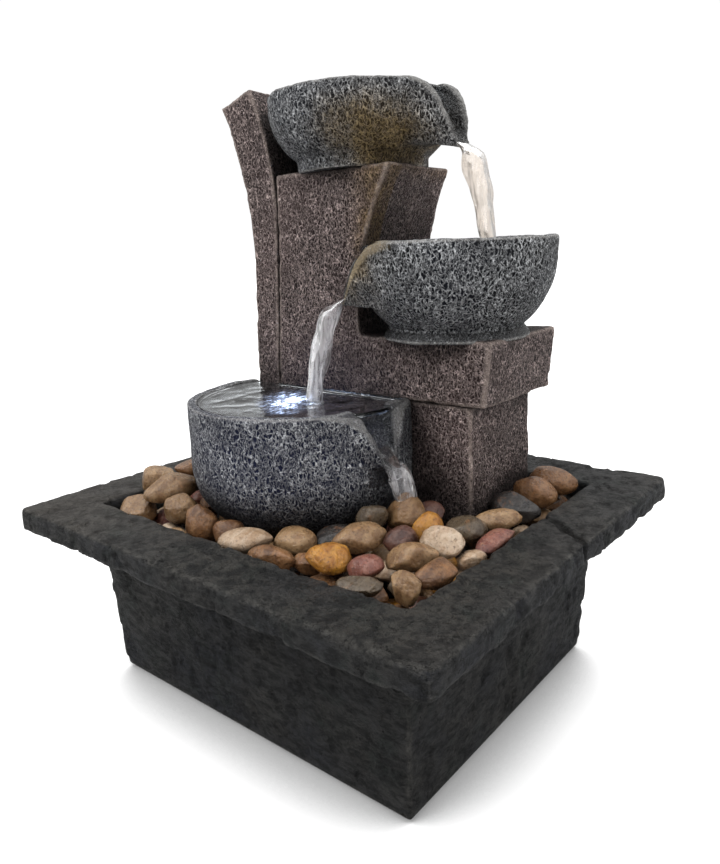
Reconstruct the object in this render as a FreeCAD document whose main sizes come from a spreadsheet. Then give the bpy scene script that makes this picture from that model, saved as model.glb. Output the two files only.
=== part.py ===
"""Tabletop three-bowl water fountain: slate tray, stone tower, pebble bed, pump, light and cord.

Millimetres. The origin is the centre of the tray's footprint on the table, +Z is up,
the long front of the tray faces -Y and the bowls step down from back left to front.
"""
import FreeCAD, Part
import math
import os
import random
import re

import Sketcher
from FreeCAD import Matrix, Placement, Rotation, Vector

DIMENSIONS = {
    # tray
    "tray_length": 228, "tray_width": 200, "tray_height": 85.9, "rim_thick": 9.8,
    "opening_length": 175.7, "opening_width": 147.8, "basin_length": 180, "basin_width": 152.1,
    "foot_length": 171.4, "foot_width": 143.5, "basin_wall": 4, "basin_floor": 5,
    "corner_round": 3, "edge_chamfer": 0.8, "pad_height": 1.2, "pad_radius": 7, "pad_inset": 16,
    # pebble deck
    "deck_length": 168, "deck_width": 140, "deck_height": 61, "deck_thick": 3,
    "deck_left": -68, "deck_right": 61.5, "deck_front": 9, "slot_width": 4, "slot_pitch": 12,
    "slot_margin": 7, "leg_radius": 4, "leg_inset": 9,
    # tower
    "tower_front": 11.4, "tower_back": 66, "column_left": -51.4, "column_right": 2,
    "seat_height": 231, "flare_start": 165, "flare_right": 22.5, "flare_back": 16,
    "lean_start": 132, "neck_right": -45.5, "neck_left": -62.8, "cap_low": 131, "cap_top": 158.5,
    "cap_right": 69.3, "cap_right_low": 66.6, "cap_back": 71, "pedestal_right": 59.5,
    "pedestal_front": 13, "shell_wall": 5, "slab_left": -66.6, "slab_front": 10.8,
    "slab_outer_bend": 195, "slab_outer_tip": -78.4, "slab_outer_top": 264,
    "slab_inner_bend": 215, "slab_inner_tip": -58.5, "slab_inner_top": 270,
    # pump compartment in the foot of the tower
    "room_left": -43, "room_right": -2, "room_front": 15.5, "room_back": 62, "room_top": 112,
    "notch_width": 8, "notch_top": 66,
    # riser tube
    "tube_left": -22.5, "tube_back": 36.5, "tube_bore": 3.5, "tube_radius": 5,
    "tube_play": 0.4, "tube_low": 40, "collar_radius": 9.5, "collar_thick": 2.5, "jet_height": 10,
    # bowls: the lip is where the water leaves, the flank is the side of the spout and the
    # mouth is half the width of its end
    "bowl_wall": 4.5, "lip_deep": 3.2, "lip_tongue": 2, "sill_inset": 6,
    "sill_drop": 3, "chute_share": 0.65, "chute_deep": 5,
    "top_left": -11, "top_back": 35, "top_radius": 42.3, "top_rim": 262.8, "top_shoulder": 258.3,
    "top_foot": 30, "top_foot_height": 235.5, "top_flank": 15, "top_lip": 57, "top_drop": 25,
    "top_turn": -5, "top_dip": 40, "top_keel": 24.5, "top_skirt": 30,
    "mid_left": 39, "mid_back": 34, "mid_radius": 43, "mid_rim": 199, "mid_shoulder": 192,
    "mid_foot": 29, "mid_foot_height": 162.5, "mid_flank": 19, "mid_lip": 49.5, "mid_drop": 23,
    "mid_turn": 223, "mid_dip": 34, "mid_keel": 27, "mid_skirt": 33,
    "low_left": -20.5, "low_back": -3.8, "low_radius": 53, "low_rim": 132, "low_shoulder": 102,
    "low_foot": 30, "low_foot_height": 73, "low_flank": 18, "low_lip": 57.5, "low_drop": 20.5,
    "low_turn": -9, "low_base": 72, "low_dip": 46, "low_keel": 25, "low_skirt": 30,
    "top_mouth": 6.5, "mid_mouth": 6.5, "low_mouth": 5.4,
    # light in the lowest bowl
    "light_left": -17, "light_back": -17, "light_radius": 11, "light_height": 8, "stem_radius": 5,
    "lens_radius": 9, "lens_height": 3, "board_radius": 8, "board_thick": 1.6, "wire_radius": 1.4,
    "wire_height": 104, "wire_drop": 74, "seal_radius": 3, "seal_bore": 1.5,
    # pump
    "pump_width": 30, "pump_height": 28, "pump_low": 8.2, "case_front": 40, "case_back": 60,
    "cover_thick": 1.5, "well_radius": 9, "well_depth": 9, "chamber_radius": 10,
    "volute_front": 33, "volute_width": 26, "volute_wall": 2, "spout_radius": 3.4, "spout_bore": 2.4,
    "spout_top": 50, "inlet_radius": 4, "strainer_front": 28, "strainer_skin": 1.4,
    "foam_thick": 2.4, "dial_radius": 6, "dial_thick": 1.5, "dial_boss": 1.5, "cup_radius": 4,
    "shaft_radius": 1, "shaft_play": 0.06, "bush_radius": 2.2, "bush_length": 1.6,
    "magnet_radius": 8, "magnet_length": 7.5, "vane_radius": 8.6, "vane_thick": 1.2,
    "hub_radius": 2.6, "core_height": 12, "core_bar": 4.2, "coil_wrap": 1.7, "coil_half": 8,
    # mains side
    "cord_radius": 1.6, "cord_exit": 56, "grommet_radius": 4.5, "grommet_flange": 6,
    "switch_left": -2, "switch_length": 50, "switch_width": 15, "switch_back": 81.5,
    "switch_half": 6.5, "switch_wall": 1.6, "rocker_length": 16, "rocker_width": 9,
    "rocker_tilt": 7, "pin_radius": 0.9, "screw_radius": 1.5, "screw_head": 2.6,
    "plug_grip": 4.6, "plug_length": 22,
    "plug_back": 94.2, "barrel_radius": 2.75, "barrel_length": 9.5, "barrel_bore": 1.05,
    # pebbles
    "pebble_long": 9.6, "pebble_short": 6.4, "pebble_tall": 5, "pebble_count": 420,
    "pebble_grading": 0.35, "bed_height": 80, "bed_gap": 0.3,
}

doc = FreeCAD.newDocument("fountain")
sheet = doc.addObject("Spreadsheet::Sheet", "Dims")
for row, (alias, number) in enumerate(DIMENSIONS.items(), start=1):
    sheet.set(f"A{row}", alias)
    sheet.set(f"B{row}", str(number))
    sheet.setAlias(f"B{row}", alias)
doc.recompute()

ALIAS = re.compile(r"\b(" + "|".join(sorted(DIMENSIONS, key=len, reverse=True)) + r")\b")
PIECES = []


def bind(text):
    """The expression with every alias pointing at the sheet."""
    return ALIAS.sub(r"Dims.\1", text)


def size(text):
    """The expression's present value."""
    return float(sheet.evalExpression(text))


def drive(obj, **expressions):
    """Bind properties of an object to expressions of the sheet."""
    for name, text in expressions.items():
        obj.setExpression(name, bind(text))
    return obj


def place(obj, x="0", y="0", z="0", turn=None):
    """Put the object at a bound position; turn is an angle about +Z."""
    for axis, text in zip("xyz", (x, y, z)):
        obj.setExpression("Placement.Base." + axis, bind(text))
    if turn:
        obj.setExpression("Placement.Rotation.Angle", bind(turn))
    return obj


def piece(obj, label):
    """Name a finished sub-part."""
    obj.Label = label
    PIECES.append(obj)
    return obj


# ---- primitives and booleans -------------------------------------------------------------

def box(x, y, z, length, width, height):
    obj = drive(doc.addObject("Part::Box", "Box"), Length=length, Width=width, Height=height)
    return place(obj, x, y, z)


ALONG = {"x": Rotation(Vector(0, 1, 0), 90), "y": Rotation(Vector(1, 0, 0), -90), "z": Rotation()}


def cylinder(x, y, z, radius, height, along="z"):
    obj = drive(doc.addObject("Part::Cylinder", "Cylinder"), Radius=radius, Height=height)
    obj.Placement.Rotation = ALONG[along]
    return place(obj, x, y, z)


def cone(x, y, z, low, high, height, along="z"):
    obj = drive(doc.addObject("Part::Cone", "Cone"), Radius1=low, Radius2=high, Height=height)
    obj.Placement.Rotation = ALONG[along]
    return place(obj, x, y, z)


def cut(base, *tools):
    for tool in tools:
        result = doc.addObject("Part::Cut", "Cut")
        result.Base = base
        result.Tool = tool
        base = result
    return base


def fuse(*shapes):
    result = doc.addObject("Part::MultiFuse", "Fusion")
    result.Shapes = list(shapes)
    result.Refine = True
    return result


def group(*shapes):
    """Separate identical solids that share one node."""
    result = doc.addObject("Part::Compound", "Group")
    result.Links = list(shapes)
    return result


# ---- bodies, sketches and features -------------------------------------------------------

def new_body(name):
    return doc.addObject("PartDesign::Body", name)


def arc_between(start, end, radius):
    """Arc of the signed radius from start to end; positive bends left. Returns it with its end numbers."""
    chord = end - start
    across = Vector(-chord.y, chord.x, 0).normalize()
    rise = math.sqrt(radius * radius - (chord.Length / 2) ** 2)
    side = 1 if radius > 0 else -1
    centre = start + chord * 0.5 + across * (rise * side)
    first, last = (start, end) if side > 0 else (end, start)
    angles = [math.atan2(p.y - centre.y, p.x - centre.x) for p in (first, last)]
    circle = Part.Circle(centre, Vector(0, 0, 1), abs(radius))
    return Part.ArcOfCircle(circle, *angles), (1, 2) if side > 0 else (2, 1)


def add_loop(sketch, steps):
    """Closed loop: (x, y) ends a straight edge and (x, y, radius) ends an arc."""
    corners = [Vector(size(step[0]), size(step[1]), 0) for step in steps]
    edges = []
    for index, step in enumerate(steps):
        start, end = corners[index - 1], corners[index]
        if len(step) == 3:
            curve, ends = arc_between(start, end, size(step[2]))
        else:
            curve, ends = Part.LineSegment(start, end), (1, 2)
        number = sketch.addGeometry(curve, False)
        edges.append((number, *ends))
        if len(step) == 3:
            radius = sketch.addConstraint(Sketcher.Constraint("Radius", number, abs(size(step[2]))))
            sketch.setExpression(f"Constraints[{radius}]", bind(f"abs({step[2]})"))
    for index, (number, _, head) in enumerate(edges):
        following, tail, _ = edges[(index + 1) % len(edges)]
        sketch.addConstraint(Sketcher.Constraint("Coincident", number, head, following, tail))
        for kind, text in zip(("DistanceX", "DistanceY"), steps[index]):
            datum = sketch.addConstraint(Sketcher.Constraint(kind, -1, 1, number, head, size(text)))
            sketch.setExpression(f"Constraints[{datum}]", bind(text))


def sketch_on(body, role, offset, *loops):
    """Sketch on one of the body's origin planes, moved along the plane's normal."""
    sketch = body.newObject("Sketcher::SketchObject", "Sketch")
    plane = next(p for p in body.Origin.OriginFeatures if p.Role == role)
    sketch.AttachmentSupport = [(plane, "")]
    sketch.MapMode = "FlatFace"
    sketch.setExpression("AttachmentOffset.Base.z", bind(offset))
    for steps in loops:
        add_loop(sketch, steps)
    return sketch


def rectangle(x_low, x_high, y_low, y_high):
    return [(x_low, y_low), (x_high, y_low), (x_high, y_high), (x_low, y_high)]


def centred(length, width):
    return rectangle(f"-({length})/2", f"({length})/2", f"-({width})/2", f"({width})/2")


def pad_up(body, low, height, *loops):
    """Pad loops of the XY plane upwards from the height low."""
    pad = body.newObject("PartDesign::Pad", "Pad")
    pad.Profile = sketch_on(body, "XY_Plane", low, *loops)
    return drive(pad, Length=height)


def pad_back(body, front, depth, *loops):
    """Pad loops of the XZ plane backwards, towards +Y, from the front."""
    pad = body.newObject("PartDesign::Pad", "Pad")
    pad.Profile = sketch_on(body, "XZ_Plane", f"-({front})", *loops)
    pad.Reversed = True
    return drive(pad, Length=depth)


def loft(body, kind, sections):
    feature = body.newObject("PartDesign::" + kind, kind)
    feature.Profile = sections[0]
    feature.Sections = sections[1:]
    feature.Ruled = True
    return feature


def dress(body, kind, edges, **expressions):
    """Fillet or chamfer the chosen edges of the body's tip."""
    doc.recompute()
    tip = body.Tip
    names = [f"Edge{n}" for n, edge in enumerate(tip.Shape.Edges, start=1) if edges(edge)]
    feature = body.newObject("PartDesign::" + kind, kind)
    feature.Base = (tip, names)
    return drive(feature, **expressions)


def is_upright(edge):
    ends = [v.Point for v in edge.Vertexes]
    return len(ends) == 2 and ends[0].distanceToPoint(Vector(ends[1].x, ends[1].y, ends[0].z)) < 1


def is_level_at(height):
    return lambda edge: all(abs(v.Point.z - size(height)) < 0.01 for v in edge.Vertexes)


# ---- tray --------------------------------------------------------------------------------

def tray_rim():
    body = new_body("TrayRim")
    pad_up(body, "tray_height - rim_thick", "rim_thick",
           centred("tray_length", "tray_width"), centred("opening_length", "opening_width"))
    dress(body, "Fillet", is_upright, Radius="corner_round")
    dress(body, "Chamfer", is_level_at("tray_height"), Size="edge_chamfer")
    piece(body, "tray_rim")


def tapered_block(body, kind, low, inset):
    """Four-sided taper of the basin from the height low up to the rim, moved in by the inset."""
    top = "tray_height - rim_thick"
    slope = f"(({low} - pad_height) / (tray_height - rim_thick - pad_height))"
    length = f"(foot_length + (basin_length - foot_length) * {slope} - 2 * {inset})"
    width = f"(foot_width + (basin_width - foot_width) * {slope} - 2 * {inset})"
    loft(body, kind, [
        sketch_on(body, "XY_Plane", low, centred(length, width)),
        sketch_on(body, "XY_Plane", top,
                  centred(f"basin_length - 2 * {inset}", f"basin_width - 2 * {inset}"))])


def tray_basin():
    body = new_body("TrayBasin")
    tapered_block(body, "AdditiveLoft", "pad_height", "0")
    tapered_block(body, "SubtractiveLoft", "pad_height + basin_floor", "basin_wall")
    outlet = cylinder("tube_left", "foot_width / 2 - 2 * basin_wall", "cord_exit",
                      "grommet_radius", "4 * basin_wall", "y")
    piece(cut(body, outlet), "tray_basin")


def four(make, x, y):
    """Four copies, one for each corner at plus or minus x and y."""
    return group(*[make(f"{sx}({x})", f"{sy}({y})") for sx in ("", "-") for sy in ("", "-")])


def tray_feet():
    pads = four(lambda x, y: cylinder(x, y, "0", "pad_radius", "pad_height"),
                "foot_length / 2 - pad_inset", "foot_width / 2 - pad_inset")
    piece(pads, "rubber_feet")


def cord_grommet():
    wall_out = "(basin_width / 2 - 0.4)"
    wall_in = "(foot_width / 2 - basin_wall + 2.4)"
    neck = cylinder("tube_left", wall_in, "cord_exit", "grommet_radius",
                    f"{wall_out} - {wall_in}", "y")
    inner = cylinder("tube_left", f"{wall_in} - cover_thick", "cord_exit", "grommet_flange",
                     "cover_thick", "y")
    outer = cylinder("tube_left", wall_out, "cord_exit", "grommet_flange", "cover_thick", "y")
    hole = cylinder("tube_left", f"{wall_in} - 5", "cord_exit", "cord_radius + 0.05", "20", "y")
    piece(cut(fuse(neck, inner, outer), hole), "cord_grommet")


def pebble_deck():
    """Slotted plate on legs; it leaves the back open for the foot of the tower."""
    body = new_body("PebbleDeck")
    half_length, half_width = "deck_length / 2", "deck_width / 2"
    pad_up(body, "deck_height - deck_thick", "deck_thick", [
        (f"-{half_length}", f"-{half_width}"), (half_length, f"-{half_width}"),
        (half_length, half_width), ("deck_right", half_width), ("deck_right", "deck_front"),
        ("deck_left", "deck_front"), ("deck_left", half_width), (f"-{half_length}", half_width)])
    doc.recompute()
    slot = body.newObject("PartDesign::Pocket", "Slot")
    start = "slot_margin - deck_length / 2"
    slot.Profile = sketch_on(body, "XY_Plane", "deck_height", rectangle(
        start, f"{start} + slot_width", "slot_margin - deck_width / 2", "deck_front - slot_margin"))
    drive(slot, Length="2 * deck_thick")
    doc.recompute()
    row = body.newObject("PartDesign::LinearPattern", "SlotRow")
    row.Originals = [slot]
    row.Direction = (next(p for p in body.Origin.OriginFeatures if p.Role == "X_Axis"), [""])
    count = int((size("deck_length") - 2 * size("slot_margin")) // size("slot_pitch")) + 1
    row.Occurrences = count
    drive(row, Length=f"slot_pitch * {count - 1}")
    body.Tip = row
    floor = "(pad_height + basin_floor)"
    legs = [cylinder(x, y, floor, "leg_radius", f"deck_height - deck_thick - {floor}")
            for x in (f"leg_inset - {half_length}", f"{half_length} - leg_inset")
            for y in (f"leg_inset - {half_width} + leg_radius", f"{half_width} - leg_inset")]
    legs += [cylinder(x, "0", floor, "leg_radius", f"deck_height - deck_thick - {floor}")
             for x in ("deck_left", "deck_right")]
    piece(fuse(body, *legs), "pebble_deck")


# ---- tower -------------------------------------------------------------------------------

def tangent_arc(across, along):
    """Radius of an arc that leaves a line tangentially and ends across and along from there."""
    return f"((({across})^2 + ({along})^2) / (2 * abs({across})))"


def left_slab():
    """Upright fin; both long edges lean inwards to a neck, then curve out to the sloping end."""
    body = new_body("LeftSlab")
    floor = "pad_height + basin_floor"
    outer = tangent_arc("neck_left - slab_outer_tip", "slab_outer_top - slab_outer_bend")
    inner = tangent_arc("neck_right - slab_inner_tip", "slab_inner_top - slab_inner_bend")
    pad_back(body, "slab_front", "tower_back - slab_front", [
        ("slab_left", floor), ("column_left", floor), ("column_left", "lean_start"),
        ("neck_right", "slab_inner_bend"), ("slab_inner_tip", "slab_inner_top", inner),
        ("slab_outer_tip", "slab_outer_top"), ("neck_left", "slab_outer_bend", f"-{outer}"),
        ("slab_left", "lean_start")])
    return piece(body, "left_slab")


def tower_body():
    """Column that flares to the right under the top bowl, with the cap beam beside it."""
    body = new_body("TowerBody")

    def outline(depth, corner):
        flare = tangent_arc(f"{corner} - column_right", "seat_height - flare_start")
        return sketch_on(body, "XZ_Plane", f"-({depth})", [
            ("column_left", "pad_height + basin_floor"),
            ("column_right", "pad_height + basin_floor"), ("column_right", "flare_start"),
            (corner, "seat_height", f"-{flare}"), ("neck_right", "seat_height"),
            ("neck_right", "slab_inner_bend"), ("column_left", "lean_start")])

    loft(body, "AdditiveLoft", [outline("tower_front", "flare_right"),
                                outline("tower_back", "flare_back")])
    doc.recompute()
    pad_back(body, "tower_front", "cap_back - tower_front", [
        ("column_right - shell_wall", "cap_low"), ("cap_right_low", "cap_low"),
        ("cap_right", "cap_top"), ("column_right - shell_wall", "cap_top")])
    floor = "(pad_height + basin_floor)"
    room = box("room_left", "room_front", floor, "room_right - room_left",
               "room_back - room_front", f"room_top - {floor}")
    notch = box("tube_left - notch_width / 2", "room_back", floor, "notch_width",
                "2 * shell_wall", f"notch_top - {floor}")
    bore = cylinder("tube_left", "tube_back", "room_top", "tube_radius + tube_play", "seat_height")
    wire = cylinder("light_left", "tower_front - shell_wall", "wire_height", "seal_radius",
                    "3 * shell_wall", "y")
    return piece(cut(body, room, notch, bore, wire), "tower_body")


def pedestal():
    body = new_body("Pedestal")
    pad_up(body, "pad_height + basin_floor", "cap_low - pad_height - basin_floor",
           rectangle("column_right", "pedestal_right", "pedestal_front", "tower_back"))
    hollow = box("column_right + shell_wall", "pedestal_front + shell_wall",
                 "pad_height + basin_floor", "pedestal_right - column_right - 2 * shell_wall",
                 "tower_back - pedestal_front - 2 * shell_wall",
                 "cap_low - pad_height - basin_floor - shell_wall")
    piece(cut(body, hollow), "pedestal")


def bowl(key, base):
    """Thick-walled bowl turned about its own axis, with a sloping spout towards its own +X."""
    body = new_body("Bowl_" + key)
    radius, rim, shoulder = f"{key}_radius", f"{key}_rim", f"{key}_shoulder"
    foot, foot_height = f"{key}_foot", f"{key}_foot_height"
    bulge = tangent_arc(f"{radius} - {foot}", f"{shoulder} - {foot_height}")
    turned = body.newObject("PartDesign::Revolution", "Turned")
    turned.Profile = sketch_on(body, "XZ_Plane", "0", [
        ("0", base), (f"{key}_skirt", base), (foot, foot_height), (radius, shoulder, bulge),
        (radius, rim), (f"{radius} - bowl_wall", rim), (f"{radius} - bowl_wall", shoulder),
        (f"{foot} - bowl_wall", f"{foot_height} + bowl_wall", f"-{bulge}"),
        ("0", f"{foot_height} + bowl_wall")])
    turned.ReferenceAxis = (next(p for p in body.Origin.OriginFeatures if p.Role == "Z_Axis"), [""])
    turned.Angle = 360
    doc.recompute()
    spout(body, key)
    place(body, f"{key}_left", f"{key}_back", "0", f"{key}_turn")
    return body


def channel(body, offset, half, top, bottom, waist=0.9, keel=0.5):
    """Six-cornered U section across a spout: half is its top half width."""
    level = f"({bottom}) * 0.6 + ({top}) * 0.4"
    return sketch_on(body, "YZ_Plane", offset, [
        (f"-({half}) * {keel}", bottom), (f"({half}) * {keel}", bottom),
        (f"({half}) * {waist}", level), (half, top), (f"-({half})", top),
        (f"-({half}) * {waist}", level)])


def spout(body, key):
    """Spout like a half pipe: a sill inside the rim, thick flanks that fall away, a rounded lip."""
    rim, flank, lip, dip = f"{key}_rim", f"{key}_flank", f"{key}_lip", f"{key}_dip"
    lip_top, keel = f"({rim} - {key}_drop)", f"({rim} - {key}_keel)"
    shore, end = f"sqrt({key}_radius^2 - {flank}^2)", f"{lip} + lip_tongue"
    mouth = f"{key}_mouth"
    loft(body, "AdditiveLoft", [
        channel(body, f"{shore} - sill_inset", flank, rim, keel),
        channel(body, shore, flank, rim, keel),
        channel(body, lip, f"{mouth} * 1.15", rim, f"{lip_top} - lip_deep"),
        channel(body, end, f"{mouth} * 0.9", rim, f"{lip_top} - lip_deep - lip_tongue")])
    doc.recompute()
    run, drop = f"({lip} - {dip})", f"{key}_drop"
    notch = body.newObject("PartDesign::Pocket", "Dip")
    notch.Profile = sketch_on(body, "XZ_Plane", "0", [
        (dip, rim), (f"{dip} + {run} * 0.35", f"{rim} - {drop} * 0.12"),
        (f"{dip} + {run} * 0.62", f"{rim} - {drop} * 0.34"),
        (f"{dip} + {run} * 0.84", f"{rim} - {drop} * 0.66"), (lip, lip_top),
        (end, f"{lip_top} - lip_deep"), (f"{end} + 5", f"{lip_top} - lip_deep"),
        (f"{end} + 5", f"{rim} + 5"), (dip, f"{rim} + 5")])
    notch.Midplane = True
    drive(notch, Length=f"2 * {key}_radius")
    doc.recompute()
    loft(body, "SubtractiveLoft", [
        channel(body, f"{shore} - sill_inset - 1", f"{flank} * chute_share", f"{rim} + 6",
                f"{rim} - sill_drop", 0.95, 0.7),
        channel(body, f"{end} + 1", f"{mouth} - 2", f"{rim} + 6", f"{lip_top} - chute_deep",
                0.95, 0.6)])


def bowls(tower, slab):
    seat = bowl("top", "seat_height")
    inlet = cylinder("tube_left", "tube_back", "seat_height - 1", "tube_radius + tube_play", "20")
    piece(cut(seat, inlet, slab), "top_bowl")
    piece(cut(bowl("mid", "cap_top"), tower), "middle_bowl")
    behind = box("-tray_length", "tower_front", "0", "2 * tray_length", "tray_width", "2 * low_rim")
    piece(cut(bowl("low", "low_base"), behind, slab), "bottom_bowl")


# ---- water riser and light ---------------------------------------------------------------

def riser():
    floor = "(top_foot_height + bowl_wall)"
    tube = cylinder("tube_left", "tube_back", "tube_low", "tube_radius", f"{floor} - tube_low")
    bore = cylinder("tube_left", "tube_back", "0", "tube_bore", "2 * seat_height")
    piece(cut(tube, bore), "riser_tube")
    flange = cylinder("tube_left", "tube_back", floor, "collar_radius", "collar_thick")
    jet = cylinder("tube_left", "tube_back", floor, "tube_radius", "jet_height")
    hole = cylinder("tube_left", "tube_back", f"{floor} - 1", "tube_bore", "2 * jet_height")
    piece(cut(fuse(flange, jet), hole), "inlet_collar")


def light_unit():
    """Sealed puck on a stem from the bowl's floor, with its board under a clear lens."""
    floor = "(low_foot_height + bowl_wall)"
    low, top = "(wire_height - light_height / 2)", "(wire_height + light_height)"
    stem = cylinder("light_left", "light_back", floor, "stem_radius", f"{low} - {floor}")
    puck = cylinder("light_left", "light_back", low, "light_radius", f"{top} - {low}")
    well = cylinder("light_left", "light_back", f"{top} - light_height / 2", "lens_radius",
                    "light_height")
    gland = cylinder("light_left", "light_back", "wire_height", "wire_radius + 0.05", "20", "y")
    piece(cut(fuse(stem, puck), well, gland), "light_housing")
    board = cylinder("light_left", "light_back", f"{top} - light_height / 2", "board_radius",
                     "board_thick")
    piece(board, "light_board")
    chips = group(*[box(f"light_left + {x} - 1.25", f"light_back + {y} - 1.25",
                        f"{top} - light_height / 2 + board_thick", "2.5", "2.5", "0.8")
                    for x, y in ((-3, -3), (3, -3), (0, 3))])
    piece(chips, "light_chips")
    lens = cone("light_left", "light_back", f"{top} - 1", "lens_radius - 0.05",
                "lens_radius - 3", "lens_height")
    piece(lens, "light_lens")
    seal = cylinder("light_left", "tower_front - shell_wall / 2", "wire_height", "seal_radius",
                    "room_front - tower_front + shell_wall / 2", "y")
    through = cylinder("light_left", "0", "wire_height", "seal_bore", "30", "y")
    piece(cut(seal, through), "wire_seal")


def rounded_path(points, bend):
    """Straight runs through the points with round corners."""
    edges, start = [], points[0]
    for before, corner, after in zip(points, points[1:], points[2:]):
        back, ahead = before - corner, after - corner
        trim = min(bend, 0.45 * back.Length, 0.45 * ahead.Length)
        back.normalize()
        ahead.normalize()
        inward = back + ahead
        first, last = corner + back * trim, corner + ahead * trim
        edges.append(Part.makeLine(start, first))
        half_angle = back.getAngle(ahead) / 2
        inward.normalize()
        middle = corner + inward * (trim / math.cos(half_angle) - trim * math.tan(half_angle))
        edges.append(Part.Arc(first, middle, last).toShape())
        start = last
    edges.append(Part.makeLine(start, points[-1]))
    return Part.Wire(edges)


def pipe(points, radius):
    """Round cord along the path through the points."""
    ring = Part.Wire(Part.makeCircle(radius, points[0], points[1] - points[0]))
    return rounded_path(points, 2.6 * radius).makePipeShell([ring], True, True)


def corded(label, *runs):
    """Free-form cord: its runs are given as points and a radius from the sheet."""
    obj = doc.addObject("Part::Feature", "Cord")
    solids = [pipe([Vector(*[size(text) for text in point]) for point in points], size(radius))
              for points, radius in runs]
    obj.Shape = solids[0] if len(solids) == 1 else Part.makeCompound(solids)
    piece(obj, label)


def light_wire():
    left, high, hang = "light_left", "wire_height", "room_front + 11"
    corded("light_wire", ([
        (left, "light_back + 3", high), (left, hang, high), (left, hang, "wire_drop")],
        "wire_radius"))
    piece(cylinder(left, hang, "wire_drop - 16", "3", "16"), "light_connector")


# ---- pump --------------------------------------------------------------------------------

PUMP_X = "tube_left"
PUMP_Z = "(pump_low + pump_height / 2)"


def pump_axis(start, radius, length):
    """Cylinder on the rotor's axis, which runs front to back."""
    return cylinder(PUMP_X, start, PUMP_Z, radius, length, "y")


def pump_block(front, width, height, depth):
    return box(f"{PUMP_X} - ({width}) / 2", front, f"{PUMP_Z} - ({height}) / 2", width, depth, height)


def pump_case():
    body = new_body("PumpCase")
    pad_back(body, "case_front", "case_back - case_front", rectangle(
        f"{PUMP_X} - pump_width / 2", f"{PUMP_X} + pump_width / 2",
        "pump_low", "pump_low + pump_height"))
    dress(body, "Fillet", lambda e: len(e.Vertexes) == 2 and abs(
        e.Vertexes[0].Point.y - e.Vertexes[1].Point.y) > 5, Radius="corner_round")
    well = pump_axis("case_front", "well_radius", "well_depth")
    rear_bush = pump_axis("case_front", "bush_radius", "well_depth + bush_length")
    arms = pump_block("case_front + 2", "2 * well_radius + 9", "core_height + 0.2",
                      "case_back - case_front")
    keep = pump_axis("case_front", "well_radius + 1", "well_depth + bush_length + 0.2")
    coil_room = pump_block("case_front + well_depth + bush_length + 0.3", "pump_width - 5",
                           "core_height + 8", "case_back - case_front")
    piece(cut(body, cut(fuse(arms, coil_room), keep), well, rear_bush), "pump_case")


def stator():
    """U-shaped iron core around the rotor's well, with the coil on its rear bar."""
    bar_front = "(case_front + well_depth + bush_length + 0.4 + coil_wrap)"
    core = cut(pump_block("case_front + 3", "2 * well_radius + 8", "core_height",
                          f"{bar_front} + core_bar - case_front - 3"),
               pump_block("case_front", "2 * well_radius + 2.2", "pump_height",
                          f"{bar_front} - case_front"))
    piece(core, "stator_core")
    coil = cut(pump_block(f"{bar_front} - coil_wrap", "2 * coil_half", "core_height + 7",
                          "core_bar + 2 * coil_wrap"),
               pump_block(f"{bar_front} - 0.05", "pump_width", "core_height + 0.1",
                          "core_bar + 0.1"))
    piece(coil, "stator_coil")


def pump_rear():
    plate = pump_block("case_back", "pump_width", "pump_height", "cover_thick")
    gland = cylinder(PUMP_X, "case_back - 1", "pump_low + pump_height - 6.5", "cord_radius + 0.05",
                     "10", "y")
    piece(cut(plate, gland), "pump_rear_cover")
    cups = group(*[cylinder(f"{PUMP_X} {sx} 10", y, "pad_height + basin_floor", "cup_radius",
                            "pump_low - pad_height - basin_floor")
                   for sx in "+-" for y in ("case_front + 4.5", "case_back - 4.5")])
    piece(cups, "suction_cups")


def volute():
    """Chamber for the impeller with the outlet pipe on top and the eye in front."""
    block = pump_block("volute_front", "volute_width", "pump_height - 2",
                       "case_front - volute_front")
    outlet = cylinder(PUMP_X, "tube_back", PUMP_Z, "spout_radius", f"spout_top - {PUMP_Z}")
    chamber = pump_axis("volute_front + volute_wall", "chamber_radius", "10")
    eye = pump_axis("volute_front - 1", "inlet_radius", "10")
    channel = cylinder(PUMP_X, "tube_back", PUMP_Z, "spout_bore", "2 * spout_top")
    spider = pump_block("volute_front", "2 * inlet_radius + 1", "2", "volute_wall")
    holder = pump_axis("volute_front", "bush_radius + 0.8", "volute_wall")
    socket = pump_axis("volute_front - 1", "bush_radius", "volute_wall + 2")
    open_block = cut(fuse(block, outlet), chamber, eye, channel)
    piece(cut(fuse(open_block, spider, holder), socket), "volute_cover")


def rotor():
    bushes = []
    for start in ("volute_front + volute_wall - bush_length",
                  "case_front + well_depth"):
        bushes.append(cut(pump_axis(start, "bush_radius", "bush_length"),
                          pump_axis(f"{start} - 1", "shaft_radius", "bush_length + 2")))
    piece(group(*bushes), "shaft_bushes")
    piece(pump_axis("volute_front + volute_wall - bush_length", "shaft_radius",
                    "case_front - volute_front + well_depth - volute_wall + 2 * bush_length"),
          "rotor_shaft")
    bore = pump_axis("volute_front", "shaft_radius + shaft_play", "40")
    piece(cut(pump_axis("case_front + 1", "magnet_radius", "magnet_length"), bore), "rotor_magnet")
    disc = pump_axis("case_front - vane_thick - 0.4", "vane_radius", "vane_thick")
    hub = pump_axis("volute_front + volute_wall + 0.6", "hub_radius",
                    "case_front + 1 - volute_front - volute_wall - 0.6")
    vane_front = "(volute_front + volute_wall + 0.6)"
    vanes = [pump_block(vane_front, "2 * vane_radius - 1", "vane_thick",
                        f"case_front - vane_thick - 0.4 - {vane_front}"),
             pump_block(vane_front, "vane_thick", "2 * vane_radius - 1",
                        f"case_front - vane_thick - 0.4 - {vane_front}")]
    piece(cut(fuse(disc, hub, *vanes), bore), "impeller")


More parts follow.
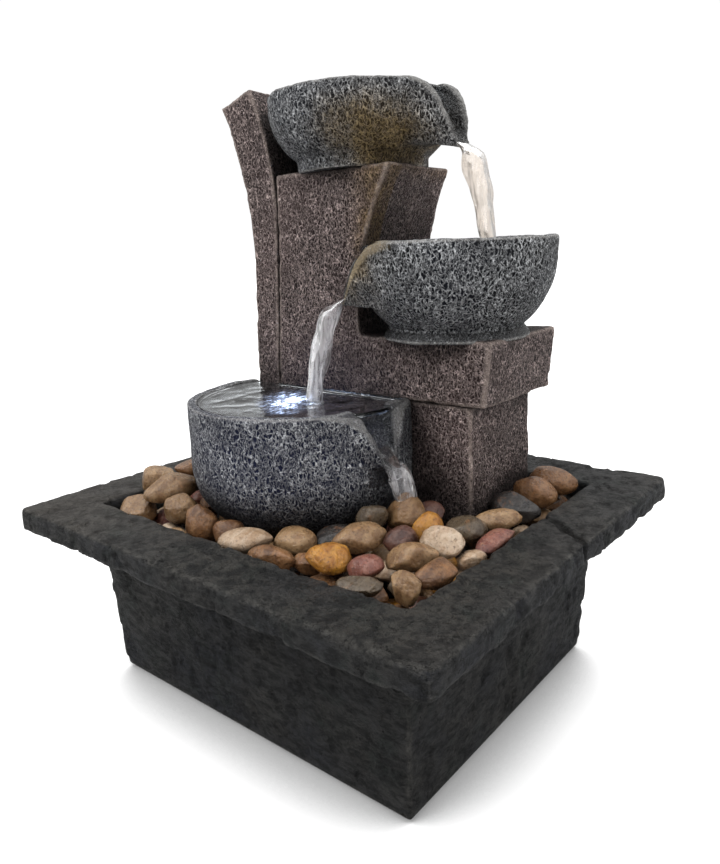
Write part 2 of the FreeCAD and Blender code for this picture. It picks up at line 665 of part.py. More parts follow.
def strainer():
    """Slotted front cover with its foam, and the dial that throttles the flow."""
    body = pump_block("strainer_front", "volute_width", "pump_height - 2",
                      "volute_front - strainer_front")
    inside = pump_block("strainer_front + strainer_skin", "volute_width - 2 * strainer_skin",
                        "pump_height - 2 - 2 * strainer_skin", "10")
    slots = [box(f"{PUMP_X} + {sx} * 9 - 2", "strainer_front - 1", f"{PUMP_Z} + {row} * 3.6 - 0.8",
                 "4", "4", "1.6") for sx in (-1, 1) for row in range(-2, 3)]
    pivot = pump_axis("strainer_front - dial_thick - 0.2", "dial_boss", "dial_thick + 0.3")
    piece(fuse(cut(body, inside, *slots), pivot), "strainer_cover")
    piece(pump_block("strainer_front + strainer_skin + 0.1", "volute_width - 3 * strainer_skin",
                     "pump_height - 2 - 3 * strainer_skin", "foam_thick"), "strainer_foam")
    disc = pump_axis("strainer_front - dial_thick - 0.1", "dial_radius", "dial_thick")
    lever = box(f"{PUMP_X} - 1", "strainer_front - dial_thick - 0.1",
                f"{PUMP_Z} + dial_radius - 1", "2", "dial_thick", "4")
    bore = pump_axis("strainer_front - 5", "dial_boss + shaft_play", "10")
    piece(cut(fuse(disc, lever), bore), "flow_dial")


# ---- cord, switch and plug ---------------------------------------------------------------

def power_cord():
    """Two runs: pump to switch, out through the basin's back wall, and switch to plug."""
    x, exit_height, lying = "tube_left", "cord_exit", "switch_half"
    pump_exit = "pump_low + pump_height - 6.5"
    rise = "(room_back + cord_radius + 0.8)"
    outside = "(basin_width / 2 + 8)"
    right_end = "switch_left + switch_length"
    corded("power_cord", ([
        (x, "case_back - 0.9", pump_exit), (x, rise, pump_exit), (x, rise, exit_height),
        (x, outside, exit_height), (x, outside, lying), (x, "switch_back", lying),
        ("switch_left + 4", "switch_back", lying)], "cord_radius"), ([
            (f"{right_end} - 4", "switch_back", lying), (f"{right_end} + 12", "switch_back", lying),
            (f"{right_end} + 12", "plug_back", "plug_grip"),
            (f"{right_end} - 8", "plug_back", "plug_grip")], "cord_radius"))


SWITCH_MID = "(switch_left + switch_length / 2)"


def switch_shell(low, high, roof):
    """Half of the switch body: a shallow box that is open towards the joint."""
    outer = box("switch_left", "switch_back - switch_width / 2", low, "switch_length",
                "switch_width", f"{high} - ({low})")
    inner = box("switch_left + switch_wall", "switch_back - switch_width / 2 + switch_wall",
                roof, "switch_length - 2 * switch_wall", "switch_width - 2 * switch_wall",
                f"{high} - ({low}) - switch_wall + 1")
    cord = cylinder("switch_left - 1", "switch_back", "switch_half", "cord_radius + 0.05",
                    "switch_length + 2", "x")
    return cut(outer, inner, cord)


def switch_screw_at(x, radius, low, height):
    return cylinder(x, "switch_back", low, radius, height)


SCREW_PLACES = ("switch_left + 9", "switch_left + switch_length - 9")


def switch():
    lower = switch_shell("0", "switch_half", "switch_wall")
    upper = switch_shell("switch_half", "2 * switch_half", "switch_half - 1")
    post_height = "switch_half - switch_wall / 2 - cord_radius - 0.2"
    posts = [cut(switch_screw_at(x, "screw_radius + 1.4", "switch_wall / 2", post_height),
                 switch_screw_at(x, "screw_radius + 0.05", "-1", "20"))
             for x in SCREW_PLACES]
    drill = [switch_screw_at(x, "screw_radius + 0.05", "-1", "5") for x in SCREW_PLACES]
    sink = [switch_screw_at(x, "screw_head + 0.1", "-1", "1 + switch_wall / 2")
            for x in SCREW_PLACES]
    piece(fuse(cut(lower, *drill, *sink), *posts), "switch_base")
    window = box(f"{SWITCH_MID} - rocker_length / 2 - 0.4", "switch_back - rocker_width / 2 - 0.4",
                 "2 * switch_half - 2 * switch_wall", "rocker_length + 0.8", "rocker_width + 0.8",
                 "4 * switch_wall")
    axis_height = "(2 * switch_half - 2.6)"
    cheeks = [box(f"{SWITCH_MID} - 2", y, f"{axis_height} - 2", "4", "1", "3.6 - switch_wall + 1")
              for y in ("switch_back - rocker_width / 2 - 1.5",
                        "switch_back + rocker_width / 2 + 0.5")]
    bearing = cylinder(SWITCH_MID, "switch_back - 20", axis_height, "pin_radius", "40", "y")
    piece(fuse(cut(upper, window), *[cut(cheek, bearing) for cheek in cheeks]), "switch_cover")
    screws = []
    for x in SCREW_PLACES:
        head = switch_screw_at(x, "screw_head", "0.1", "switch_wall / 2 - 0.15")
        shank = switch_screw_at(x, "screw_radius", "0.1", "switch_half - cord_radius - 0.6")
        recess = box(f"{x} - 1.6", "switch_back - 0.3", "0", "3.2", "0.6", "0.4")
        screws.append(cut(fuse(head, shank), recess))
    piece(group(*screws), "switch_screws")


def rocker():
    """Rocker with a shallow V top, drawn round its pin and tipped to its on position."""
    body = new_body("Rocker")
    half = "rocker_length / 2"
    pad_back(body, "-rocker_width / 2", "rocker_width", [
        (f"0.6 - {half}", "-0.4"), (f"{half} - 0.6", "-0.4"), (f"{half} - 0.3", "4.2"),
        ("0", "3.1"), (f"0.3 - {half}", "4.2")])
    body.Placement = Placement(Vector(), Rotation(Vector(0, 1, 0), size("rocker_tilt")))
    place(body, SWITCH_MID, "switch_back", "2 * switch_half - 2.6", "rocker_tilt")
    pin = cylinder(SWITCH_MID, "switch_back - rocker_width / 2 - 1.2", "2 * switch_half - 2.6",
                   "pin_radius", "rocker_width + 2.4", "y")
    bore = cylinder(SWITCH_MID, "switch_back - 20", "2 * switch_half - 2.6",
                    "pin_radius + shaft_play", "40", "y")
    piece(cut(body, bore), "switch_rocker")
    piece(pin, "rocker_pin")


def plug():
    start = "(switch_left + switch_length - 6)"
    grip = cone(f"{start} - plug_length", "plug_back", "plug_grip", "plug_grip",
                "plug_grip * 0.55", "plug_length", "x")
    barrel = cylinder(f"{start} - plug_length - barrel_length", "plug_back", "plug_grip",
                      "barrel_radius", "barrel_length", "x")
    bore = cylinder(f"{start} - plug_length - barrel_length - 1", "plug_back", "plug_grip",
                    "barrel_bore", "barrel_length + 1", "x")
    piece(cut(barrel, bore), "plug_barrel")
    cord = cylinder(f"{start} - 3", "plug_back", "plug_grip", "cord_radius + 0.05", "10", "x")
    piece(cut(grip, cord), "plug_grip")


# ---- pebbles -----------------------------------------------------------------------------

PEBBLE_KINDS = {"tan": 30, "brown": 20, "cream": 10, "ochre": 8, "rose": 9, "maroon": 6,
                "grey": 10, "black": 7}
CELL = 1.0
WALL = 1e6


BED = {name: size(text) for name, text in {
    "left": "deck_left - 0.5", "right": "deck_right + 0.5", "front": "tower_front - 1.6",
    "deck": "deck_height", "bowl_x": "low_left", "bowl_y": "low_back",
    "bowl_radius": "low_radius", "bowl_foot": "low_foot", "bowl_shoulder": "low_shoulder",
    "bowl_base": "low_base", "gap": "bed_gap", "bed": "bed_height", "long": "pebble_long",
    "short": "pebble_short", "tall": "pebble_tall", "graded": "pebble_grading",
    "half_x": "basin_length / 2 - basin_wall - 0.8",
    "half_y": "basin_width / 2 - basin_wall - 0.8"}.items()}
SHOWN_PEBBLES = """
    tan     -76 -63 87  18 16 15  30
    tan     -79 -46 90  17 13 12  80
    brown   -73 -34 91  22 13 11  80
    tan     -66 -46 88  23 15 12  70
    tan     -49 -55 86  18 15 13  60
    brown   -26 -60 84  14 12 16  20
    brown   -17 -50 83  12 11 11  60
    cream     1 -63 83  20 14 10  30
    brown    16 -65 82  19 11  9   5
    tan      12 -46 82  16 14 12  30
    brown    28 -59 81  13 11  8  20
    ochre    41 -57 84  18 14 11  75
    black    24 -32 82  19 16 13  40
    grey     29 -19 88  12 12 13  10
    tan      39 -37 85  21 15 11  55
    tan      42 -15 88  17 15 16   0
    maroon   53 -31 86  15 11 10  65
    ochre    56 -16 86  12 12 14  30
    maroon   44   5 84  12 10  9  30
    rose     56 -52 84  13 10  8  50
    grey     61 -65 82  17 11  8  20
    tan      78 -62 85  12 11 12  10
    tan      65 -43 85  18 12 10  45
    cream    71 -27 86  16 14 12  30
    brown    80 -45 84  18 11 10  85
    cream    81 -22 82  11  9  7  80
    grey     67  -6 84  18 14 10  20
    tan      74  11 84  18 11 10  40
    rose     81  -4 82  23  9  8  85
    black    71  29 84  21 15 12   5
    brown    74  46 87  17 15 14  10
    brown    77  60 88  21 14 12   5
"""


class Pebble:
    """Ellipsoid that is turned and slightly tipped; its footprint includes a gap all round."""

    def __init__(self, half, turn):
        self.half, self.turn, self.centre = half, turn, Vector()
        self.axes = [turn.multVec(Vector(*unit)) for unit in ((1, 0, 0), (0, 1, 0), (0, 0, 1))]
        self.form = [[sum(axis[row] * axis[column] / (length + BED["gap"]) ** 2
                          for axis, length in zip(self.axes, self.half))
                      for column in range(3)] for row in range(3)]
        self.cells = self.footprint()

    def footprint(self):
        """Depth below and height above the centre for each cell the pebble covers."""
        form, reach, cells = self.form, int(max(self.half) / CELL) + 1, []
        for column in range(-reach, reach + 1):
            for row in range(-reach, reach + 1):
                x, y = column * CELL, row * CELL
                half_b = form[0][2] * x + form[1][2] * y
                rest = form[0][0] * x * x + 2 * form[0][1] * x * y + form[1][1] * y * y - 1
                inside = half_b ** 2 - form[2][2] * rest
                if inside > 0:
                    root = math.sqrt(inside)
                    cells.append((column, row, (-half_b - root) / form[2][2],
                                  (-half_b + root) / form[2][2]))
        return cells

    def reach(self, direction):
        """How far the pebble extends from its centre in a direction."""
        return math.sqrt(sum((length * axis.dot(direction)) ** 2
                             for axis, length in zip(self.axes, self.half)))

    def solid(self):
        stretch = Matrix()
        stretch.scale(*self.half)
        ball = Part.makeSphere(1).transformGeometry(stretch)
        ball.Placement = Placement(self.centre, self.turn)
        return ball


def shown_pebbles(draw):
    """The upper pebbles: kind, centre, length, breadth, height and heading of each."""
    stones = []
    for line in SHOWN_PEBBLES.split("\n"):
        if line.strip():
            kind, *numbers = line.split()
            x, y, z, long, broad, tall, heading = map(float, numbers)
            turn = Rotation(heading, draw.uniform(-8, 8), draw.uniform(-8, 8))
            stone = Pebble((long / 2, broad / 2, tall / 2), turn)
            stone.kind, stone.centre = kind, Vector(x, y, z)
            stones.append(stone)
    return stones


def part_pair(first, second):
    """Push two pebbles apart until a plane between them separates them."""
    apart = second.centre - first.centre
    direction = Vector(apart).normalize()
    short = first.reach(direction) + second.reach(direction) + 3 * BED["gap"] - apart.Length
    if short > 0:
        first.centre -= direction * (short / 2)
        second.centre += direction * (short / 2)


def bowl_reach(height):
    """Radius of the lowest bowl's outside at a height."""
    depth = min(max(BED["bowl_shoulder"] - height, 0), BED["bowl_shoulder"] - BED["bowl_base"])
    curve = size(tangent_arc("low_radius - low_foot", "low_shoulder - low_foot_height"))
    return BED["bowl_radius"] - curve + math.sqrt(max(curve ** 2 - depth ** 2, 0))


def keep_inside(stone):
    """Keep a pebble off the basin's walls, the deck, the tower and the lowest bowl."""
    across, along, up = (stone.reach(Vector(*axis)) for axis in ((1, 0, 0), (0, 1, 0), (0, 0, 1)))
    centre = stone.centre
    centre.x = min(max(centre.x, across - BED["half_x"]), BED["half_x"] - across)
    centre.y = min(max(centre.y, along - BED["half_y"]), BED["half_y"] - along)
    centre.z = max(centre.z, BED["deck"] + up)
    past_side, past_front = BED["right"] + across - centre.x, centre.y + along - BED["front"]
    if past_side > 0 and past_front > 0:
        if past_side < past_front:
            centre.x += past_side
        else:
            centre.y -= past_front
    away = Vector(centre.x - BED["bowl_x"], centre.y - BED["bowl_y"], 0)
    outward = Vector(away).normalize()
    short = bowl_reach(centre.z + up * 0.6) + stone.reach(outward) + 1 - away.Length
    if short > 0:
        stone.centre += outward * short


class Bed:
    """Height map of the pebble bed: floor and ceiling of the free space over a square grid."""

    def __init__(self):
        self.half_x, self.half_y = size("deck_length / 2 - 0.4"), size("deck_width / 2 - 0.4")
        self.columns = int(2 * self.half_x / CELL) + 1
        self.rows = int(2 * self.half_y / CELL) + 1
        self.low = [[self.floor(*self.spot(c, r)) for r in range(self.rows)]
                    for c in range(self.columns)]
        self.high = [[self.ceiling(*self.spot(c, r)) for r in range(self.rows)]
                     for c in range(self.columns)]

    def spot(self, column, row):
        return column * CELL - self.half_x, row * CELL - self.half_y

    def floor(self, x, y):
        """Top of the deck, or a wall where the tower stands."""
        in_tower = (BED["left"] < x < BED["right"]) and y > BED["front"]
        return WALL if in_tower else BED["deck"]

    def ceiling(self, x, y):
        """Underside of the lowest bowl."""
        away = math.hypot(x - BED["bowl_x"], y - BED["bowl_y"])
        if away > BED["bowl_radius"] + 1:
            return WALL
        flat, drop = BED["bowl_foot"], BED["bowl_shoulder"] - BED["bowl_base"]
        run = max(0, away - flat) / (BED["bowl_radius"] + 1 - flat)
        return BED["bowl_base"] + drop * (1 - math.sqrt(max(0, 1 - run * run))) - 1.5

    def roof(self, stone):
        """Let the bed pass only below a pebble that is already in place."""
        column = round((stone.centre.x + self.half_x) / CELL)
        row = round((stone.centre.y + self.half_y) / CELL)
        stone.centre.x, stone.centre.y = self.spot(column, row)
        for dc, dr, under, _ in stone.cells:
            c, r = column + dc, row + dr
            if 0 <= c < self.columns and 0 <= r < self.rows:
                self.high[c][r] = min(self.high[c][r], stone.centre.z + under)

    def rest(self, pebble, column, row):
        """Height of the pebble's centre when it rests here, or None if it doesn't fit."""
        height = -WALL
        for dc, dr, under, _ in pebble.cells:
            c, r = column + dc, row + dr
            if not (0 <= c < self.columns and 0 <= r < self.rows) or self.low[c][r] >= WALL:
                return None
            height = max(height, self.low[c][r] - under)
        for dc, dr, _, over in pebble.cells:
            if height + over > self.high[column + dc][row + dr]:
                return None
        return height

    def drop(self, pebble, column, row, height):
        pebble.centre = Vector(*self.spot(column, row), height)
        for dc, dr, _, over in pebble.cells:
            cell = self.low[column + dc]
            cell[row + dr] = max(cell[row + dr], height + over)


def buried_pebble(draw, scale):
    half = (BED["long"] * scale * draw.uniform(0.68, 1.0),
            BED["short"] * scale * draw.uniform(0.85, 1.1),
            BED["tall"] * scale * draw.uniform(0.85, 1.1))
    return Pebble(half, Rotation(draw.uniform(0, 360), draw.uniform(-22, 22), draw.uniform(-16, 16)))


def buried_pebbles(draw, bed):
    """Stones dropped one after another, each at the lowest of several tried places."""
    kinds = [kind for kind, share in PEBBLE_KINDS.items() for _ in range(share)]
    count, placed = int(size("pebble_count")), []
    for number in range(count):
        pebble, best = buried_pebble(draw, 1.05 - BED["graded"] * number / count), None
        for _ in range(400):
            column, row = draw.randrange(bed.columns), draw.randrange(bed.rows)
            height = bed.rest(pebble, column, row)
            if height is None or height + pebble.half[2] > BED["bed"]:
                continue
            if best is None or height < best[0]:
                best = (height, column, row)
        if best:
            bed.drop(pebble, best[1], best[2], best[0])
            pebble.kind = draw.choice(kinds)
            placed.append(pebble)
    return placed


def pebbles():
    """Upper pebbles settled against each other, with a buried bed below them."""
    draw, bed = random.Random(7), Bed()
    shown = shown_pebbles(draw)
    for _ in range(120):
        for number, first in enumerate(shown):
            for second in shown[:number]:
                part_pair(second, first)
        for stone in shown:
            keep_inside(stone)
    for stone in shown:
        bed.roof(stone)
    stones = shown + buried_pebbles(draw, bed)
    for kind in PEBBLE_KINDS:
        obj = doc.addObject("Part::Feature", "Pebbles")
        obj.Shape = Part.makeCompound([stone.solid() for stone in stones if stone.kind == kind])
        piece(obj, "pebbles_" + kind)


# ---- build, check and write --------------------------------------------------------------

def build():
    tray_rim()
    tray_basin()
    tray_feet()
    cord_grommet()
    pebble_deck()
    slab = left_slab()
    tower = tower_body()
    pedestal()
    bowls(tower, slab)
    riser()
    light_unit()
    light_wire()
    pump_case()
    stator()
    pump_rear()
    volute()
    rotor()
    strainer()
    power_cord()
    switch()
    rocker()
    plug()
    pebbles()
    doc.recompute()


def check():
    """Stop on any failed feature and on any sub-part that isn't whole."""
    failed = [o.Label for o in doc.Objects if {"Invalid", "Error"} & set(o.State)]
    broken = [p.Label for p in PIECES
              if p.Shape.isNull() or not p.Shape.isValid() or not p.Shape.Solids]
    if failed or broken:
        raise RuntimeError(f"failed features {failed}, broken sub-parts {broken}")


def write():
    os.makedirs("parts", exist_ok=True)
    for obj in PIECES:
        obj.Shape.exportStep(f"parts/{obj.Label}.step")
        bounds = obj.Shape.BoundBox
        print(f"{obj.Label:20s} {len(obj.Shape.Solids):3d} solids {obj.Shape.Volume:12.1f} mm3  "
              f"z {bounds.ZMin:6.1f} to {bounds.ZMax:6.1f}")


build()
check()
write()
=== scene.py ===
"""Looks of the tabletop fountain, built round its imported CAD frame. Metres, +Z up, front towards -Y."""
import math
import random

import bmesh
import bpy
import numpy as np
from mathutils import Matrix, Vector


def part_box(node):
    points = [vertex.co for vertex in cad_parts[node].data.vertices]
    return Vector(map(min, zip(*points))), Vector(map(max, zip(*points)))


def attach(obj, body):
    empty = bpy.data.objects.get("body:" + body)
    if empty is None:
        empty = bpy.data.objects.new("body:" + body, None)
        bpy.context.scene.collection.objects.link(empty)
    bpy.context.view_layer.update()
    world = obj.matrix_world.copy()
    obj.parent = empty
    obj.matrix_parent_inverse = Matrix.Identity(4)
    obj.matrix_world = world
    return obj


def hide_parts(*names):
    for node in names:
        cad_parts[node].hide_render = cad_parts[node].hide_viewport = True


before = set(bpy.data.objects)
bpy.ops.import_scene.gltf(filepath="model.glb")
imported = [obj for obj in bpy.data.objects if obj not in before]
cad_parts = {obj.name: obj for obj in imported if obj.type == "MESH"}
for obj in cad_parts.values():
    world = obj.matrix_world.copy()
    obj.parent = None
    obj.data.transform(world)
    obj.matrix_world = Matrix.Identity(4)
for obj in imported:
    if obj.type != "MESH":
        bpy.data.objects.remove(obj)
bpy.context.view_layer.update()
MM = 0.001

# The camera's turn about Z, tilt down and roll, its place in metres, and its sensor and lens in mm.
VIEW_TURN, VIEW_TILT, VIEW_ROLL = (math.radians(angle) for angle in (39.825, 14.617, -2.29))
VIEW_PLACE = (0.2116, -0.2419, 0.1988)
SENSOR_WIDTH, LENS = 36.0, 30.204

# ---- noise and mesh arrays ----


def lattice(cell, seed):
    """Pseudo-random value in 0..1 for each whole-number lattice point."""
    x, y, z = (cell[:, i].astype(np.int64) for i in range(3))
    mixed = (x * 374761393 + y * 668265263 + z * 1440662683 + seed * 1274126177) & 0xFFFFFFFF
    mixed = ((mixed ^ (mixed >> 13)) * 1274126177) & 0xFFFFFFFF
    mixed = ((mixed ^ (mixed >> 15)) * 2246822519) & 0xFFFFFFFF
    return (mixed ^ (mixed >> 16)) / 0xFFFFFFFF


def noise(points, wavelength, seed=0, stretch=(1, 1, 1)):
    """Smooth noise in -1..1 with the given wavelength; stretch lengthens it along an axis."""
    scaled = points / (wavelength * np.array(stretch)) + 1000.0
    base = np.floor(scaled)
    part = scaled - base
    part = part * part * part * (part * (part * 6 - 15) + 10)
    total = 0
    for corner in range(8):
        offset = np.array([corner & 1, corner >> 1 & 1, corner >> 2 & 1])
        weight = np.prod(np.where(offset, part, 1 - part), axis=1)
        total = total + weight * lattice(base + offset, seed)
    return total * 2 - 1


def layered(points, wavelength, octaves, seed=0, stretch=(1, 1, 1), fade=0.5):
    """Sum of noise at halving wavelengths."""
    total, share = 0, 1.0
    for octave in range(octaves):
        total = total + share * noise(points, wavelength / 2 ** octave, seed + octave, stretch)
        share *= fade
    return total


def ridges(points, wavelength, seed, stretch):
    """Thin winding crests, 1 on the crest and 0 between."""
    sharpness = 3.2
    return np.clip(1 - sharpness * np.abs(noise(points, wavelength, seed, stretch)), 0, 1)


def smoothstep(low, high, value):
    part = np.clip((value - low) / (high - low), 0, 1)
    return part * part * (3 - 2 * part)


def coordinates(mesh):
    flat = np.empty(len(mesh.vertices) * 3, np.float32)
    mesh.vertices.foreach_get("co", flat)
    return flat.reshape(-1, 3).astype(float)


def normals(mesh):
    flat = np.empty(len(mesh.vertices) * 3, np.float32)
    mesh.vertex_normals.foreach_get("vector", flat)
    return flat.reshape(-1, 3).astype(float)


def move(mesh, points):
    mesh.vertices.foreach_set("co", points.astype(np.float32).ravel())
    mesh.update()


def averaged(mesh, points, rounds):
    """Points after several rounds of averaging each with its neighbours."""
    edges = np.empty(len(mesh.edges) * 2, np.int32)
    mesh.edges.foreach_get("vertices", edges)
    first, second = edges.reshape(-1, 2).T
    count = np.bincount(first, minlength=len(points)) + np.bincount(second, minlength=len(points))
    for _ in range(rounds):
        near = np.stack([np.bincount(first, points[second, axis], len(points))
                         + np.bincount(second, points[first, axis], len(points))
                         for axis in range(3)], axis=1)
        points = 0.5 * points + 0.5 * near / np.maximum(count, 1)[:, None]
    return points


def paint(mesh, name, values):
    """Store one number per vertex for the materials to read."""
    layer = mesh.attributes.get(name) or mesh.attributes.new(name, "FLOAT", "POINT")
    layer.data.foreach_set("value", np.asarray(values, np.float32))


def shade_smooth(mesh):
    mesh.polygons.foreach_set("use_smooth", [True] * len(mesh.polygons))


def linked(name, data):
    """New object in the scene."""
    obj = bpy.data.objects.new(name, data)
    bpy.context.scene.collection.objects.link(obj)
    return obj


def new_piece(name, mesh, body, material, slot, *nodes):
    """Finished piece on its body, in its material, standing for its CAD nodes."""
    obj = linked(name, mesh)
    mesh.materials.clear()
    mesh.materials.append(material)
    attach(obj, body)
    if nodes:
        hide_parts(*nodes)
    return obj


def mesh_from(name, points, faces):
    mesh = bpy.data.meshes.new(name)
    mesh.from_pydata([tuple(p) for p in points], [], faces)
    mesh.update()
    return mesh


def remeshed(node, voxel):
    """Even quad mesh over a CAD node."""
    holder = linked("holder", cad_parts[node].data.copy())
    grid = holder.modifiers.new("grid", "REMESH")
    grid.mode = "VOXEL"
    grid.voxel_size = voxel
    shown = holder.evaluated_get(bpy.context.evaluated_depsgraph_get())
    mesh = bpy.data.meshes.new_from_object(shown)
    bpy.data.objects.remove(holder)
    return mesh


# ---- materials ----


class Shader:
    """Small helper round a node tree: make() adds a node, wire() feeds a socket."""

    # The colour sockets of a Mix node, which has a set for each type of data.
    MIX_SHARE, MIX_FIRST, MIX_SECOND, MIX_RESULT = 0, 6, 7, 2

    def __init__(self, name):
        self.material = bpy.data.materials.new(name)
        self.material.use_nodes = True
        self.tree = self.material.node_tree
        self.surface = self.tree.nodes["Principled BSDF"]
        self.output = self.tree.nodes["Material Output"]

    def make(self, kind, inputs=None, **settings):
        node = self.tree.nodes.new("ShaderNode" + kind)
        for key, value in settings.items():
            setattr(node, key, value)
        for key, value in (inputs or {}).items():
            self.wire(value, node, key)
        return node

    def wire(self, value, node, key):
        """Connect a socket or set a plain value."""
        socket = node.inputs[key]
        if isinstance(value, bpy.types.NodeSocket):
            self.tree.links.new(value, socket)
        elif isinstance(value, bpy.types.Node):
            self.tree.links.new(value.outputs[0], socket)
        else:
            socket.default_value = value

    def put(self, **inputs):
        """Feed the surface; underscores stand for spaces."""
        for key, value in inputs.items():
            self.wire(value, self.surface, key.replace("_", " "))

    def place(self, scale=(1, 1, 1), turn=(0, 0, 0)):
        """Object coordinates, optionally stretched."""
        where = self.make("TexCoord").outputs["Object"]
        return self.make("Mapping", {"Vector": where, "Scale": scale, "Rotation": turn})

    def noise(self, where, size, detail=3.0, rough=0.5, distortion=0.0, output=0):
        """Noise whose features have the given size in metres."""
        node = self.make("TexNoise", {"Vector": where, "Scale": 1 / size, "Detail": detail,
                                      "Roughness": rough, "Distortion": distortion})
        return node.outputs[output]

    def value(self, name):
        return self.make("Attribute", attribute_name=name).outputs["Fac"]

    def maths(self, operation, *terms):
        node = self.make("Math", operation=operation)
        for index, term in enumerate(terms):
            self.wire(term, node, index)
        return node.outputs[0]

    def span(self, value, low, high, to_low=0.0, to_high=1.0):
        """Map a range to another, clamped and eased."""
        return self.make("MapRange", {"Value": value, "From Min": low, "From Max": high,
                                      "To Min": to_low, "To Max": to_high},
                         interpolation_type="SMOOTHSTEP").outputs[0]

    def times(self, first, second):
        return self.maths("MULTIPLY", first, second)

    def mix(self, share, first, second, blend="MIX"):
        """Colour between two others, or the first tinted by the second with blend MULTIPLY."""
        node = self.make("Mix", data_type="RGBA", blend_type=blend)
        self.wire(share, node, self.MIX_SHARE)
        self.wire(first, node, self.MIX_FIRST)
        self.wire(second, node, self.MIX_SECOND)
        return node.outputs[self.MIX_RESULT]

    def bump(self, height, distance, strength=1.0):
        node = self.make("Bump", {"Height": height, "Distance": distance, "Strength": strength})
        return node.outputs["Normal"]


def rgb(red, green, blue):
    """Linear colour from sRGB values of 0..255."""
    def linear(level):
        level /= 255
        return level / 12.92 if level <= 0.04045 else ((level + 0.055) / 1.055) ** 2.4
    return (linear(red), linear(green), linear(blue), 1.0)


PAINTED_GAP_SHADE, WET_DARK, PAINTED_WET_GLEAM = rgb(8, 7, 8), rgb(14, 14, 14), rgb(150, 148, 144)
OCHRE_FILM, OCHRE_FLECK, LIME_CRUST = rgb(124, 102, 64), rgb(172, 148, 98), rgb(170, 152, 120)
WORN_STONE, WORN_SLATE, SLATE_PAINTED_SHEEN = rgb(150, 140, 126), rgb(92, 90, 86), rgb(96, 88, 80)
SLATE_BLUE, SLATE_WARM, SLATE_TOP = rgb(33, 35, 41), rgb(50, 49, 47), rgb(58, 56, 51)
SLATE_GREEN, SLATE_DARK, SLATE_DUST = rgb(33, 40, 37), rgb(11, 12, 13), rgb(62, 60, 56)
SLATE_SEAM, SLATE_PAINTED_PIT_SHADE = rgb(9, 9, 10), rgb(4, 4, 4)
IRON_PATCH, PEBBLE_PIT, PEBBLE_PAINTED_SHADE = rgb(150, 92, 44), rgb(26, 18, 13), rgb(14, 10, 8)


def crease_net(shader, where, size, thin, sway):
    """Winding light mesh of the cast texture: 1 on its threads, 0 inside the small dark cells."""
    push = shader.noise(where, size * 1.5, detail=2.0, output=1)
    away = shader.make("VectorMath", {0: push, 1: (0.5, 0.5, 0.5)}, operation="SUBTRACT")
    push = shader.make("VectorMath", {0: away, "Scale": size * sway}, operation="SCALE")
    moved = shader.make("VectorMath", {0: where, 1: push}, operation="ADD")
    cells = shader.make("TexVoronoi", {"Vector": moved, "Scale": 1 / size},
                        feature="DISTANCE_TO_EDGE")
    return shader.span(cells.outputs["Distance"], 0.02, thin, 1.0, 0.0)


def openness(shader, reach, samples=6):
    """Openness of a point: 0 in a deep gap, 1 with nothing within reach."""
    node = shader.make("AmbientOcclusion", {"Distance": reach}, samples=samples)
    return node.outputs["AO"]


def crest_pattern(shader, size):
    """Light threads of the cast texture, the coarser net alone, their breaks and the fine grit."""
    where = shader.place(scale=(1, 1, 0.62))
    coarse = crease_net(shader, where, size, 0.20, 2.2)
    turned = shader.make("Mapping", {"Vector": where, "Rotation": (0.5, 0.5, 0.9)})
    fine = crease_net(shader, turned, size * 0.66, 0.17, 2.0)
    breaks = shader.noise(where, size * 1.4, detail=3.0, rough=0.7)
    coarse = shader.times(coarse, shader.span(breaks, 0.38, 0.56, 0.1, 1.0))
    fine = shader.times(fine, shader.span(breaks, 0.58, 0.42, 0.0, 0.7))
    crests = shader.maths("MAXIMUM", coarse, fine)
    gaps = shader.noise(where, size * 0.9, detail=2.0, rough=0.7)
    crests = shader.times(crests, shader.span(gaps, 0.36, 0.52, 0.4, 1.0))
    grit = shader.noise(shader.place(), size * 0.4, detail=1.0)
    return crests, coarse, breaks, grit


def stained(shader, colour, threads, stain):
    """Colour under the mineral stain, with ochre flecks on the threads."""
    share = shader.times(shader.value("stain"), 0.85)
    colour = shader.mix(share, colour, shader.mix(1.0, colour, stain, "MULTIPLY"))
    colour = shader.mix(shader.times(share, 0.3), colour, OCHRE_FILM)
    flecks = shader.times(shader.value("stain"), threads)
    return shader.mix(shader.times(flecks, 0.6), colour, OCHRE_FLECK)


